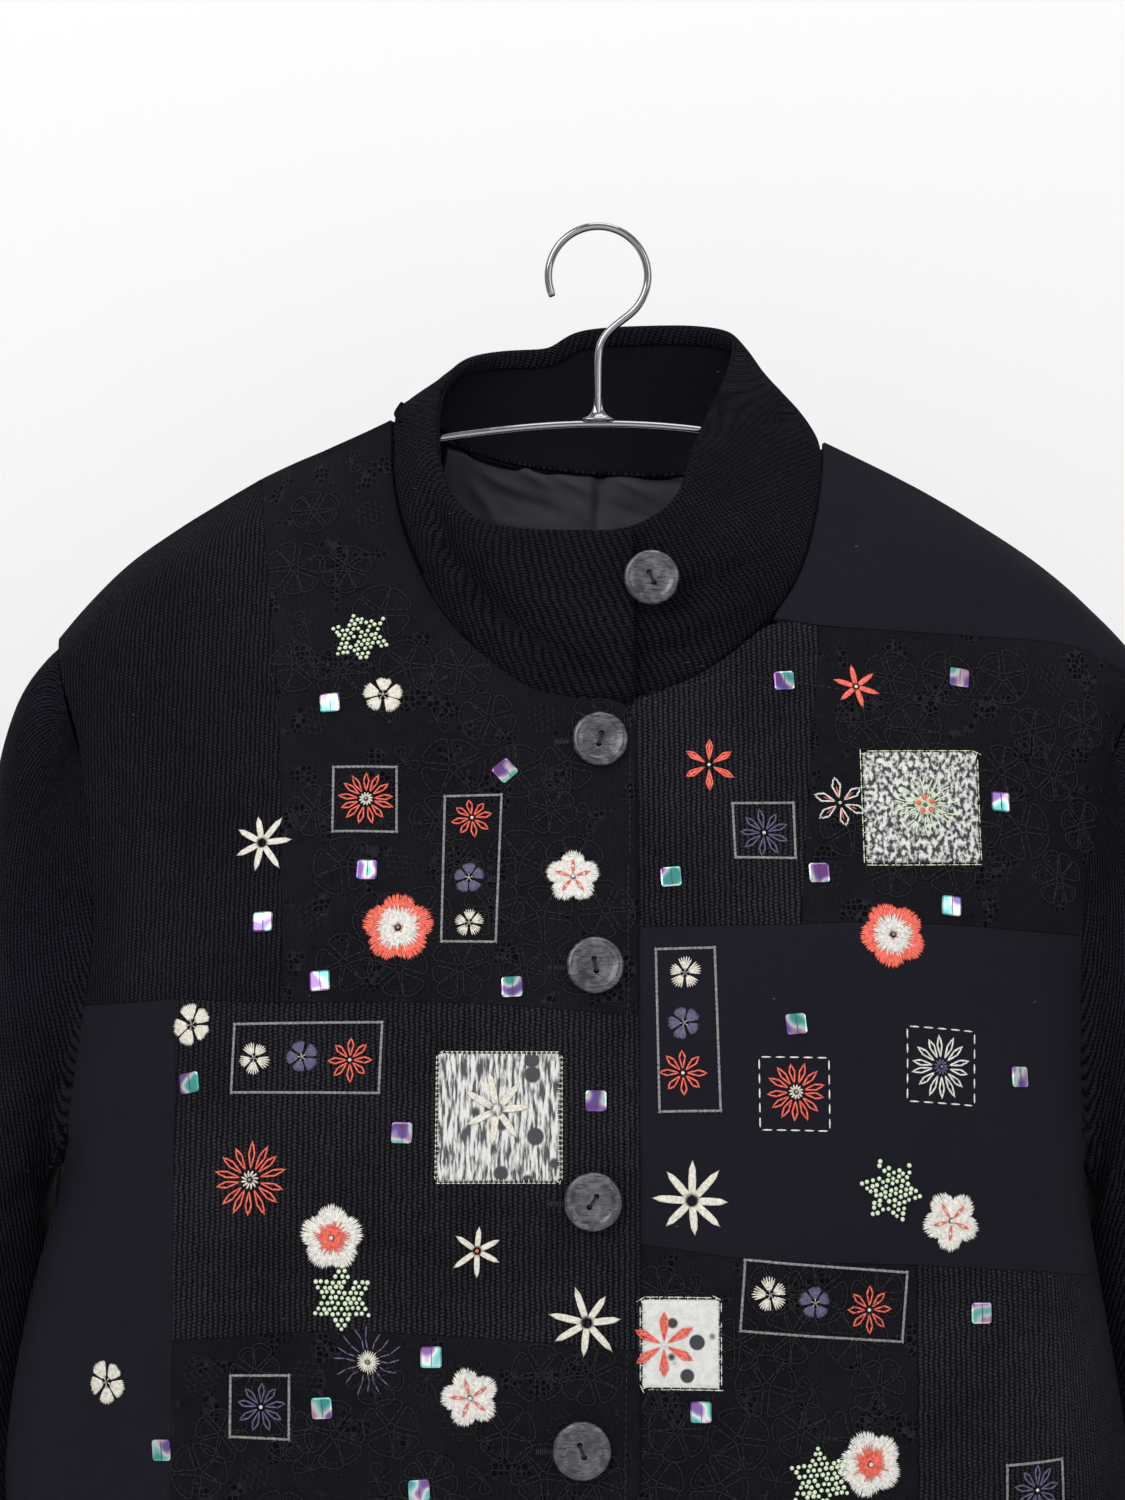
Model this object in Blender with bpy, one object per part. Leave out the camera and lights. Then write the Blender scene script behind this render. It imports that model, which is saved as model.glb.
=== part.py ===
"""A blouson jacket with a tall knitted stand collar, hanging on a wire hanger.

The frame is in metres with +Z up. The front of the jacket faces -Y and the wearer's right side
is at -X. The origin is the inside top of the hanger's hook. Tables and sizes are in millimetres
and become metres when a mesh is made. Every panel lies on one body surface, which is read by an
angle round the body and a height.
"""

import math

import bmesh
import bpy
from mathutils import Matrix, Vector
from mathutils.bvhtree import BVHTree

MM = 0.001

# Cloth
WALL = 1.4
COLLAR_WALL = 2.2
LINING_WALL = 1.0
COLLAR_LINING_WALL = 1.0
SEAM_HALF_GAP = 0.2
LINING_DEPTH = 5.0
LINING_HEM = -232.0
LINING_HALF = 96.0
LINING_RIGHT = (-68.0, -91.5)
LINING_LEFT = (74.0, -98.5)
COLLAR_LAYER_GAP = 1.3
COLLAR_LINING_RISE = 0.25
COLLAR_SEAM_GAP = 2.0
BAND_SEAM_GAP = 0.5
FRONT_POWER = 2.5
BACK_POWER = 2.6
QUARTER = math.pi / 2
SLOPE_STEP = 0.01
SPREAD_PLAIN = 0.6
SPREAD_HALVINGS = 44

# Front opening: the right front overlaps the left front
OVER_EDGE_X = 14.5
UNDER_EDGE_X = -34.0
OVERLAP_LIFT = 1.3
OVERLAP_FADE = 45.0

# Hem band and body length
BAND_TOP = -572.0
BAND_BOTTOM = -630.0
BAND_STEPS_DOWN = 2
BAND_STEPS_ACROSS = 12

# Hanger
WIRE_RADIUS = 1.9
HOOK_RADIUS = 22.0
HOOK_FIRST_ANGLE = -62.0
HOOK_LAST_ANGLE = 205.0
HOOK_STEPS = 20
STEM_TOP = -56.0
STEM_GAP = 0.4
BAR_TOP = -85.0
BAR_BELOW_RIDGE = 7.0
BAR_UNDER_SHOULDERS = (112.0, 150.0, 180.0, 205.0)
BAR_OPEN_PLACE = (57.0, -89.5)
BAR_STEPS_BETWEEN = 3
STEM_PLACES = ((0.0, -70.0), (0.0, STEM_TOP), (0.8, -50.5), (3.2, -45.5))
RIDGE_SEARCH_END = 0.01

# Buttons
BUTTON_RADIUS = 11.5
BUTTON_THICKNESS = 3.4
BUTTON_BEVEL = 1.0
BUTTON_SIDES = 22
BUTTON_GAP = 0.6
HOLE_RADIUS = 1.1
HOLE_SPACING = 5.0
HOLE_SIDES = 6

# Patches: name, panel under it, left, right, bottom and top in the front view, steps
PATCH_WALL = 1.0
PATCH_GAP = 0.5
PATCHES = (
    ("patch_upper", "left_front_upper_lace", 109.5, 156.5, -274.0, -229.5, 6),
    ("patch_middle", "right_front_middle", -64.5, -17.0, -397.5, -349.5, 6),
    ("patch_lower", "left_front_lower_lace", 16.0, 45.5, -478.0, -444.5, 5),
)

# Body sections from the top of the shoulders to the hem
# height, left side x, right side x, side y, centre front y, centre back y
BODY_LEVELS = (
    (-75.0, -74.0, 62.0, 0.0, -2.0, 8.0),
    (-83.0, -91.0, 80.0, 0.0, -4.0, 22.0),
    (-92.5, -111.5, 99.5, 0.0, -9.0, 36.0),
    (-102.0, -133.0, 119.0, 0.0, -14.0, 46.0),
    (-110.0, -150.0, 135.0, 0.0, -18.0, 48.0),
    (-126.0, -177.0, 163.0, 0.0, -26.0, 49.0),
    (-141.0, -200.0, 187.0, 0.0, -33.0, 50.0),
    (-153.5, -214.0, 203.0, -0.5, -38.0, 50.0),
    (-179.0, -237.0, 228.0, -1.0, -49.0, 50.0),
    (-190.0, -241.0, 237.0, -1.5, -54.0, 50.0),
    (-207.0, -240.0, 236.0, -3.0, -62.0, 49.0),
    (-240.0, -234.0, 227.0, -6.0, -73.0, 47.0),
    (-314.0, -228.0, 214.0, -15.0, -103.0, 44.0),
    (-360.0, -228.0, 208.0, -22.0, -116.0, 42.0),
    (-410.0, -231.0, 208.0, -30.0, -127.0, 40.0),
    (-460.0, -243.0, 215.0, -35.0, -131.0, 39.0),
    (-502.0, -250.0, 222.0, -38.0, -133.0, 38.0),
    (-545.0, -253.0, 227.0, -39.0, -133.0, 38.0),
    (-562.0, -249.0, 223.0, -39.0, -130.0, 35.0),
    (BAND_TOP, -240.0, 214.0, -38.0, -122.0, 27.0),
    (BAND_BOTTOM, -234.0, 208.0, -38.0, -117.0, 24.0),
)

# Soft folds of the fronts and the back
# start x, start height, end x, end height, half width, lift
FRONT_FOLDS = (
    (128.0, -316.0, 121.0, -412.0, 14.0, 3.0),
    (-112.0, -200.0, -100.0, -318.0, 26.0, 3.5),
    (-70.0, -350.0, -92.0, -560.0, 30.0, 4.5),
    (-148.0, -345.0, -166.0, -560.0, 26.0, 6.0),
    (60.0, -330.0, 78.0, -560.0, 30.0, 4.5),
    (168.0, -320.0, 176.0, -560.0, 26.0, 6.0),
    (150.0, -200.0, 140.0, -290.0, 24.0, 3.0),
)
BACK_FOLDS = (
    (-120.0, -190.0, -96.0, -565.0, 34.0, 6.0),
    (-20.0, -260.0, -34.0, -565.0, 30.0, 4.5),
    (52.0, -240.0, 48.0, -565.0, 34.0, 5.5),
    (128.0, -200.0, 126.0, -565.0, 30.0, 6.0),
)

FOLD_END_SHARE = 0.15

FRONT = "front"
BACK = "back"
FOLDS = {FRONT: FRONT_FOLDS, BACK: BACK_FOLDS}

# Heights of the places on the shoulder ridges
RIGHT_NECK_POINT = -83.0
RIGHT_SEAM_TOP = -108.7
LEFT_NECK_POINT = -92.5

# Seams in the front view: x, height
RIGHT_SHOULDER_SEAM = ((-139.0, -172.6), (-133.8, -224.0), (-128.7, -330.0))
RIGHT_BUST_SEAM_SIDE = ((-216.0, -334.7), (-173.0, -329.4))
RIGHT_BUST_SEAM_SHOULDER = ((-173.0, -329.4), (-128.7, -330.0))
RIGHT_NECK_EDGE = -206.8
RIGHT_BUST_EDGE = -334.5
RIGHT_WAIST_EDGE = -463.8
RIGHT_BUST_SEAM_FRONT = ((-128.7, -330.0), (-61.0, -329.0), (OVER_EDGE_X, RIGHT_BUST_EDGE))
RIGHT_SIDE_SEAM = ((-171.0, -462.5), (-173.0, -329.4))
RIGHT_SIDE_SEAM_LOW = ((-171.0, BAND_TOP), (-171.0, -462.5))
RIGHT_WAIST_SEAM = ((-171.0, -462.5), (-113.5, -457.0), (-81.7, -456.5), (-19.3, -461.0),
                    (OVER_EDGE_X, RIGHT_WAIST_EDGE))
LEFT_YOKE_SEAM_NECK = ((73.8, -171.5), (93.4, -175.3))
LEFT_YOKE_SEAM = ((93.4, -175.3), (153.2, -179.2), (194.0, -181.5), (212.0, -187.0),
                  (233.5, -199.0))
LEFT_UPPER_SEAM = ((81.5, -298.5), (88.5, -221.4), (93.4, -175.3))
LEFT_NECK_EDGE = -198.7
LEFT_BUST_EDGE = -300.0
LEFT_WAIST_EDGE = -421.0
LEFT_NECK_KNIT = ((UNDER_EDGE_X, LEFT_NECK_EDGE), (-21.7, -205.0), (-0.8, -207.0), (15.0, -206.0),
                  (36.0, -199.0), (55.0, -187.5), (73.8, -171.5))
LEFT_NECK_YOKE = ((73.8, -171.5), (86.4, -153.5), (94.5, -126.3), (99.5, LEFT_NECK_POINT))
LEFT_BUST_SEAM_FRONT = ((UNDER_EDGE_X, LEFT_BUST_EDGE), (15.7, -299.0), (81.5, -298.5))
LEFT_BUST_SEAM_SIDE = ((81.5, -298.5), (106.0, -297.7), (151.5, -300.0), (203.5, -306.0))
LEFT_WAIST_SEAM_FRONT = ((UNDER_EDGE_X, LEFT_WAIST_EDGE), (17.3, -422.9), (54.5, -428.0),
                         (125.0, -432.8))
LEFT_WAIST_SEAM_SIDE = ((125.0, -432.8), (180.0, -439.0))
LEFT_WAIST_END = -449.0
HEM_RIGHT_END = -240.0
HEM_LEFT_END = 214.0
LEFT_LOW_SEAM = ((125.0, BAND_TOP), (125.0, -432.8))

# Armholes in the front view: x, height
UNDERARM = -410.0
RIGHT_TIP = -179.0
LEFT_TIP = -190.0
RIGHT_ARMHOLE_FRONT = ((-237.0, RIGHT_TIP), (-228.0, -209.0), (-219.0, -240.0),
                       (-214.0, -275.0), (-213.0, -314.0), (-216.0, -334.7))
RIGHT_ARMHOLE_UNDER = ((-216.0, -334.7), (-220.5, -364.0), (-226.5, -392.0), (-231.0, UNDERARM))
RIGHT_ARMHOLE_BACK = ((-231.0, UNDERARM), (-223.0, -384.0), (-218.0, -350.0), (-216.0, -314.0),
                      (-217.0, -275.0), (-222.0, -240.0), (-230.0, -209.0), (-237.0, RIGHT_TIP))
LEFT_ARMHOLE_YOKE = ((237.0, LEFT_TIP), (233.5, -199.0))
LEFT_ARMHOLE_FRONT = ((233.5, -199.0), (224.0, -222.0), (214.0, -243.0), (207.0, -274.0),
                      (203.5, -306.0))
LEFT_ARMHOLE_UNDER = ((203.5, -306.0), (202.5, -345.0), (204.0, -385.0), (208.0, UNDERARM))
LEFT_ARMHOLE_BACK = ((208.0, UNDERARM), (203.0, -384.0), (203.5, -345.0), (206.0, -306.0),
                     (210.0, -274.0), (217.0, -243.0), (227.0, -220.0), (237.0, LEFT_TIP))

# Collar stations from the over end round the neck to the under end
# side, neck x, neck height, top x, top y, top height, bulge, lift from the body surface
COLLAR_STATIONS = (
    (FRONT, 13.8, -206.8, 13.2, -55.5, -136.5, 2.0, 2.8),
    (FRONT, -0.8, -207.0, -1.0, -55.0, -136.0, 2.0, 2.8),
    (FRONT, -21.7, -205.0, -17.0, -53.5, -135.6, 2.5, 2.6),
    (FRONT, -38.4, -195.7, -34.0, -49.0, -134.6, 4.0, 1.8),
    (FRONT, -60.5, -177.8, -55.0, -40.0, -129.5, 5.0, 1.4),
    (FRONT, -76.2, -153.5, -67.3, -27.0, -112.3, 6.0, 1.4),
    (FRONT, -86.4, -126.5, -70.4, -12.7, -90.2, 6.0, 1.4),
    (FRONT, -89.7, -106.4, -70.6, 0.0, -76.0, 6.0, 1.6),
    (FRONT, -91.0, RIGHT_NECK_POINT, -67.5, 15.0, -62.5, 5.0, 1.8),
    (BACK, -75.0, -88.0, -59.5, 31.5, -51.5, 3.0, 0.4),
    (BACK, -45.0, -97.0, -38.0, 45.0, -47.0, 3.0, 0.4),
    (BACK, -20.0, -100.6, -21.0, 47.0, -46.0, 3.0, 0.4),
    (BACK, -4.0, -101.7, -9.0, 47.5, -38.0, 3.0, 0.4),
    (BACK, 20.0, -102.6, 19.6, 48.0, -36.0, 3.0, 0.4),
    (BACK, 42.0, -102.4, 46.5, 46.0, -36.0, 4.0, 0.4),
    (BACK, 78.0, -97.0, 64.0, 33.0, -41.0, 6.0, 0.4),
    (FRONT, 99.5, LEFT_NECK_POINT, 60.0, 17.0, -57.0, 9.0, 0.4),
    (FRONT, 94.5, -126.3, 48.8, -5.0, -80.0, 10.0, 0.4),
    (FRONT, 86.4, -153.5, 41.5, -22.0, -98.0, 9.0, 0.2),
    (FRONT, 72.9, -172.2, 37.0, -35.0, -114.6, 7.0, -0.6),
    (FRONT, 55.0, -187.5, 28.0, -43.5, -126.0, 5.0, -1.8),
    (FRONT, 36.0, -199.0, 14.0, -47.5, -134.0, 3.0, -3.0),
    (FRONT, 15.0, -206.0, -2.0, -47.5, -136.0, 2.0, -3.8),
    (FRONT, -20.0, -205.0, -20.0, -46.0, -136.0, 1.5, -4.0),
)
COLLAR_CENTRE = (3.0, -8.0)
COLLAR_STEPS_BETWEEN = 2
COLLAR_STEPS_UP = 4
COLLAR_SOFTENING = 3

# Sleeve sections of the right sleeve below its armhole
# outer x, outer height, inner x, inner height, centre y, half depth
SLEEVE_SECTIONS = (
    (-252.0, -206.0, -236.0, -424.0, -15.0, 42.0),
    (-266.0, -255.0, -234.5, -448.0, 1.0, 52.0),
    (-289.0, -335.0, -237.0, -478.0, 15.0, 57.0),
    (-316.0, -425.0, -243.0, -520.0, 23.0, 55.0),
    (-340.0, -510.0, -253.0, -572.0, 25.0, 50.0),
    (-360.0, -580.0, -268.0, -624.0, 23.0, 44.0),
    (-377.0, -640.0, -294.0, -668.0, 22.0, 40.0),
    (-381.0, -668.0, -308.0, -692.0, 22.0, 33.0),
)
CUFF_SECTIONS = (
    (-381.1, -668.4, -308.1, -692.4, 22.0, 32.8),
    (-392.0, -722.0, -321.0, -744.0, 22.0, 31.0),
)
SLEEVE_STEPS_BETWEEN = 2
SLEEVE_BLEND = 0.8

# Buttons from the collar down to the hem band: x, height
BUTTON_CARRIERS = ("right_front_upper", "right_front_middle", "right_front_lower", "hem_band")
BUTTON_PLACES = (
    (21.4, -157.6),
    (0.0, -224.0),
    (-2.5, -315.0),
    (-3.6, -406.0),
    (-8.0, -502.0),
    (-8.0, -601.0),
)

# Finding points on the cloth
CAST_START = 400.0
SEAT_DIRECTIONS = 12
SEAT_HEIGHT = 12.0

# Colours: base colour, roughness, metallic
FINISHES = {
    "knit_cloth": ((0.010, 0.010, 0.016), 0.92, 0.0),
    "lace": ((0.012, 0.011, 0.017), 0.85, 0.0),
    "smooth_cloth": ((0.014, 0.014, 0.020), 0.80, 0.0),
    "lining_cloth": ((0.020, 0.021, 0.026), 0.45, 0.0),
    "button_plastic": ((0.16, 0.16, 0.17), 0.35, 0.0),
    "chrome_wire": ((0.75, 0.76, 0.78), 0.12, 1.0),
    "patch_cloth": ((0.42, 0.42, 0.44), 0.85, 0.0),
}


def clear_scene():
    """Remove what an opened file holds."""
    for item in list(bpy.data.objects):
        bpy.data.objects.remove(item, do_unlink=True)


def make_collection(name):
    """A collection linked into the scene."""
    collection = bpy.data.collections.new(name)
    bpy.context.scene.collection.children.link(collection)
    return collection


def make_finishes():
    """One Principled material for each finish."""
    materials = {}
    for name, (colour, roughness, metallic) in FINISHES.items():
        material = bpy.data.materials.new(name)
        material.use_nodes = True
        shader = material.node_tree.nodes["Principled BSDF"]
        shader.inputs["Base Color"].default_value = (*colour, 1.0)
        shader.inputs["Roughness"].default_value = roughness
        shader.inputs["Metallic"].default_value = metallic
        materials[name] = material
    return materials


# Reading tables and curves

def spread(first, last, steps):
    """Even shares between two values."""
    return [first + (last - first) * step / steps for step in range(steps + 1)]


def spline(before, start, end, after, share):
    """A point between start and end on a smooth curve through four values."""
    square = share * share
    cube = square * share
    return 0.5 * (2 * start + (end - before) * share
                  + (2 * before - 5 * start + 4 * end - after) * square
                  + (3 * start - before - 3 * end + after) * cube)


def row_at(rows, key):
    """Read a table between its rows; its first column is a height that falls."""
    step = 0
    while step < len(rows) - 2 and key < rows[step + 1][0]:
        step += 1
    start, end = rows[step], rows[step + 1]
    before = rows[max(step - 1, 0)]
    after = rows[min(step + 2, len(rows) - 1)]
    span = end[0] - start[0]
    share = min(max((key - start[0]) / span, 0.0), 1.0)
    values = []
    for column in range(1, len(start)):
        rise = end[column] - start[column]
        slope_in = rise
        slope_out = rise
        if before is not start:
            slope_in = (end[column] - before[column]) / (end[0] - before[0]) * span
        if after is not end:
            slope_out = (after[column] - start[column]) / (after[0] - start[0]) * span
        square = share * share
        cube = square * share
        values.append(start[column] * (2 * cube - 3 * square + 1)
                      + slope_in * (cube - 2 * square + share)
                      + end[column] * (3 * square - 2 * cube) + slope_out * (cube - square))
    return values


def sample_curve(points, steps):
    """Points at even shares of a smooth curve through the given ones."""
    knots = [Vector(point) for point in points]
    if len(knots) == 2:
        return [knots[0].lerp(knots[1], step / steps) for step in range(steps + 1)]
    first = knots[0] * 2 - knots[1]
    last = knots[-1] * 2 - knots[-2]
    line = [first] + knots + [last]
    lengths = [0.0]
    for start, end in zip(knots, knots[1:]):
        lengths.append(lengths[-1] + (end - start).length)
    samples = []
    for step in range(steps + 1):
        reach = lengths[-1] * step / steps
        piece = 0
        while piece < len(knots) - 2 and reach > lengths[piece + 1]:
            piece += 1
        share = (reach - lengths[piece]) / (lengths[piece + 1] - lengths[piece])
        samples.append(spline(*line[piece:piece + 4], share))
    return samples


# The body surface

def fold_lift(side, x, height):
    """How far the folds lift the cloth off its plain surface."""
    place = Vector((x, height))
    total = 0.0
    for start_x, start_z, end_x, end_z, width, lift in FOLDS[side]:
        start = Vector((start_x, start_z))
        run = Vector((end_x, end_z)) - start
        share = (place - start).dot(run) / run.length_squared
        inside = min(max(share, 0.0), 1.0)
        away = (place - start - run * inside).length / width
        along = FOLD_END_SHARE + (1 - 2 * FOLD_END_SHARE) * inside
        total += lift * math.exp(-away * away) * math.sin(math.pi * along)
    return total


def body_point(side, angle, height):
    """A point of the body surface; the angle runs from -90 degrees on the right to +90."""
    left, right, side_y, front_y, back_y = row_at(BODY_LEVELS, height)
    power = FRONT_POWER if side == FRONT else BACK_POWER
    reach = (front_y if side == FRONT else back_y) - side_y
    across = math.sin(angle)
    deep = max(math.cos(angle), 0.0)
    x = (left + right) / 2 + (right - left) / 2 * math.copysign(abs(across) ** (2 / power), across)
    fold = fold_lift(side, x, height) * deep
    y = side_y + reach * deep ** (2 / power) + math.copysign(fold, reach)
    return Vector((x, y, height))


def body_normal(side, angle, height):
    """The outward direction of the body surface."""
    inner = math.copysign(max(abs(angle) - SLOPE_STEP, 0.0), angle)
    outer = math.copysign(abs(angle), angle)
    if abs(angle) < SLOPE_STEP:
        inner, outer = angle - SLOPE_STEP, angle + SLOPE_STEP
    along = body_point(side, outer, height) - body_point(side, inner, height)
    if angle < 0 and abs(angle) >= SLOPE_STEP:
        along.negate()
    up = body_point(side, angle, height + 1.0) - body_point(side, angle, height - 1.0)
    normal = along.cross(up).normalized()
    return normal if side == FRONT else -normal


def angle_at(side, x, height):
    """The angle of the body surface at a place of the front view."""
    left, right = row_at(BODY_LEVELS, height)[:2]
    power = FRONT_POWER if side == FRONT else BACK_POWER
    ratio = (x - (left + right) / 2) / ((right - left) / 2)
    ratio = min(max(ratio, -1.0), 1.0)
    return math.asin(math.copysign(abs(ratio) ** (power / 2), ratio))


def spread_of(side, ratio):
    """A sideways measure that keeps the cells even from the middle to the sides."""
    power = FRONT_POWER if side == FRONT else BACK_POWER
    turn = math.asin(math.copysign(abs(ratio) ** (power / 2), ratio))
    return SPREAD_PLAIN * ratio + (1 - SPREAD_PLAIN) * turn


def place_at(side, x, height):
    """A place of the front view as (spread, height), in which panels are filled."""
    left, right = row_at(BODY_LEVELS, height)[:2]
    ratio = (x - (left + right) / 2) / ((right - left) / 2)
    ratio = min(max(ratio, -1.0), 1.0)
    return Vector(((left + right) / 2 + (right - left) / 2 * spread_of(side, ratio), height))


def angle_of(side, place):
    """The angle of the body surface at a (spread, height) place."""
    left, right = row_at(BODY_LEVELS, place.y)[:2]
    target = (place.x - (left + right) / 2) / ((right - left) / 2)
    low, high = -1.0, 1.0
    for halving in range(SPREAD_HALVINGS):
        middle = (low + high) / 2
        if spread_of(side, middle) < target:
            low = middle
        else:
            high = middle
    power = FRONT_POWER if side == FRONT else BACK_POWER
    return math.asin(math.copysign(abs(low) ** (power / 2), low))


def seam(side, points, steps):
    """A seam as (spread, height) places from its points in the front view."""
    return [place_at(side, x, z) for x, z in sample_curve(points, steps)]


def on_edge(column, height):
    """The front-view place of the ridge or side seam at a height; column 0 is the right side."""
    return (row_at(BODY_LEVELS, height)[column], height)


def side_line(side, column, first, last, steps):
    """A stretch of the ridge or the side seam, where front and back meet."""
    return [place_at(side, *on_edge(column, height)) for height in spread(first, last, steps)]


def chain(*stretches):
    """Join stretches that share their end points."""
    line = list(stretches[0])
    for stretch in stretches[1:]:
        line.extend(stretch[1:])
    return line


def fill(bottom, top, left, right):
    """A grid of points between four edges; left and right run upwards."""
    across = len(bottom) - 1
    up = len(left) - 1
    grid = []
    for row in range(up + 1):
        high = row / up
        line = []
        for column in range(across + 1):
            far = column / across
            corners = (bottom[0] * (1 - far) * (1 - high) + bottom[-1] * far * (1 - high)
                       + top[0] * (1 - far) * high + top[-1] * far * high)
            line.append(bottom[column] * (1 - high) + top[column] * high
                        + left[row] * (1 - far) + right[row] * far - corners)
        grid.append(line)
    return grid


# Making meshes

def link(mesh, name, collection, material):
    """Put a mesh in the scene as an object with one material."""
    mesh.materials.clear()
    mesh.materials.append(material)
    item = bpy.data.objects.new(name, mesh)
    collection.objects.link(item)
    return item


def square_to(direction, edge, gap):
    """The part of a direction that stands square to an edge, as long as the gap."""
    edge = edge.normalized()
    return (direction - edge * direction.dot(edge)).normalized() * gap


def pull_in(grid, gap, closed):
    """Move the border of a grid inwards by half a seam's gap."""
    last_row, last_column = len(grid) - 1, len(grid[0]) - 1
    moved = []
    for row, line in enumerate(grid):
        moved_row = []
        for column, point in enumerate(line):
            shift = Vector((0.0, 0.0, 0.0))
            if row in (0, last_row):
                inner = grid[min(max(row, 1), last_row - 1)][column]
                edge = line[min(column + 1, last_column)] - line[max(column - 1, 0)]
                shift += square_to(inner - point, edge, gap)
            if column in (0, last_column) and not closed:
                inner = line[min(max(column, 1), last_column - 1)]
                edge = grid[min(row + 1, last_row)][column] - grid[max(row - 1, 0)][column]
                shift += square_to(inner - point, edge, gap)
            moved_row.append(point + shift)
        moved.append(moved_row)
    if closed:
        for line in moved:
            line[-1] = line[0].copy()
    return moved


def sheet(name, outer, inner, collection, material, closed=False):
    """A wall between two grids of points, joined along its borders."""
    up = len(outer) - 1
    across = len(outer[0]) - 1
    model = bmesh.new()
    bmesh.ops.create_grid(model, x_segments=across, y_segments=up, size=0.5)
    inside = model.verts.layers.float_vector.new("inside")
    for vert in model.verts:
        column = round((vert.co.x + 0.5) * across)
        row = round((vert.co.y + 0.5) * up)
        vert.co = outer[row][column] * MM
        vert[inside] = inner[row][column] * MM
    if closed:
        bmesh.ops.remove_doubles(model, verts=model.verts[:], dist=0.00001)
    bmesh.ops.reverse_faces(model, faces=model.faces[:])
    grown = bmesh.ops.extrude_face_region(model, geom=model.faces[:])
    for vert in grown["geom"]:
        if isinstance(vert, bmesh.types.BMVert):
            vert.co = vert[inside]
    model.verts.layers.float_vector.remove(inside)
    bmesh.ops.recalc_face_normals(model, faces=model.faces[:])
    mesh = bpy.data.meshes.new(name)
    model.to_mesh(mesh)
    model.free()
    mesh.shade_smooth()
    return link(mesh, name, collection, material)


def overlap_lift(owner, x):
    """The right front lies over the left front round the front opening."""
    if owner == "right":
        share = (x + OVERLAP_FADE + OVER_EDGE_X) / OVERLAP_FADE
    elif owner == "left":
        share = (OVER_EDGE_X + OVERLAP_FADE - x) / OVERLAP_FADE
    else:
        return 0.0
    share = min(max(share, 0.0), 1.0)
    lift = OVERLAP_LIFT * share * share * (3 - 2 * share)
    return lift if owner == "right" else -lift


def panel(name, side, owner, edges, wall, depth, collection, material):
    """A sewn panel of the body surface, at a depth below it."""
    grid = fill(*edges)
    if side == BACK:
        grid = [list(reversed(row)) for row in grid]
    outer = []
    inner = []
    for line in grid:
        outer_row = []
        inner_row = []
        for place in line:
            angle, height = angle_of(side, place), place.y
            point = body_point(side, angle, height)
            normal = body_normal(side, angle, height)
            point += normal * (overlap_lift(owner, point.x) - depth)
            outer_row.append(point)
            inner_row.append(point - normal * wall)
        outer.append(outer_row)
        inner.append(inner_row)
    return sheet(name, pull_in(outer, SEAM_HALF_GAP, False), pull_in(inner, SEAM_HALF_GAP, False),
                 collection, material)


def vertical_edge(x, bottom, top, steps):
    """A straight up-and-down edge of a front."""
    return seam(FRONT, ((x, bottom), (x, top)), steps)


# Panels of the fronts and the back

def neck_places(first, last):
    """Places of the neck seam between two collar stations."""
    return [(row[1], row[2]) for row in COLLAR_STATIONS[first:last + 1]]


def build_right_front(collection, materials):
    """The five panels of the right front."""
    ridge_out = side_line(FRONT, 0, RIGHT_SEAM_TOP, RIGHT_TIP, 6)
    ridge_in = side_line(FRONT, 0, RIGHT_SEAM_TOP, RIGHT_NECK_POINT, 7)
    shoulder_seam = seam(FRONT, (on_edge(0, RIGHT_SEAM_TOP), *RIGHT_SHOULDER_SEAM), 16)
    armhole = seam(FRONT, RIGHT_ARMHOLE_FRONT, 16)
    underarm = seam(FRONT, RIGHT_ARMHOLE_UNDER, 4)
    bust_side = seam(FRONT, RIGHT_BUST_SEAM_SIDE, 3)
    bust_shoulder = seam(FRONT, RIGHT_BUST_SEAM_SHOULDER, 3)
    bust_front = seam(FRONT, RIGHT_BUST_SEAM_FRONT, 7)
    neck = seam(FRONT, ((OVER_EDGE_X, RIGHT_NECK_EDGE), *neck_places(1, 8)), 11)
    waist = seam(FRONT, RIGHT_WAIST_SEAM, 10)
    side_seam = seam(FRONT, RIGHT_SIDE_SEAM, 8)
    side_low = seam(FRONT, RIGHT_SIDE_SEAM_LOW, 6)
    side = side_line(FRONT, 0, UNDERARM, BAND_TOP, 10)
    hem_side = seam(FRONT, ((HEM_RIGHT_END, BAND_TOP), (-171.0, BAND_TOP)), 3)
    hem_front = seam(FRONT, ((-171.0, BAND_TOP), (OVER_EDGE_X, BAND_TOP)), 10)
    panels = (
        ("right_front_shoulder", "knit_cloth",
         (chain(bust_side, bust_shoulder), ridge_out[::-1], armhole[::-1], shoulder_seam[::-1])),
        ("right_front_upper", "lace",
         (bust_front, ridge_in, shoulder_seam[::-1],
          chain(vertical_edge(OVER_EDGE_X, RIGHT_BUST_EDGE, RIGHT_NECK_EDGE, 5), neck))),
        ("right_front_side", "smooth_cloth",
         (hem_side, bust_side, chain(underarm, side)[::-1], chain(side_low, side_seam))),
        ("right_front_middle", "knit_cloth",
         (waist, chain(bust_shoulder, bust_front), side_seam,
          vertical_edge(OVER_EDGE_X, RIGHT_WAIST_EDGE, RIGHT_BUST_EDGE, 8))),
        ("right_front_lower", "lace",
         (hem_front, waist, side_low, vertical_edge(OVER_EDGE_X, BAND_TOP, RIGHT_WAIST_EDGE, 6))),
    )
    for name, finish, edges in panels:
        panel(name, FRONT, "right", edges, WALL, 0.0, collection, materials[finish])


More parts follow.
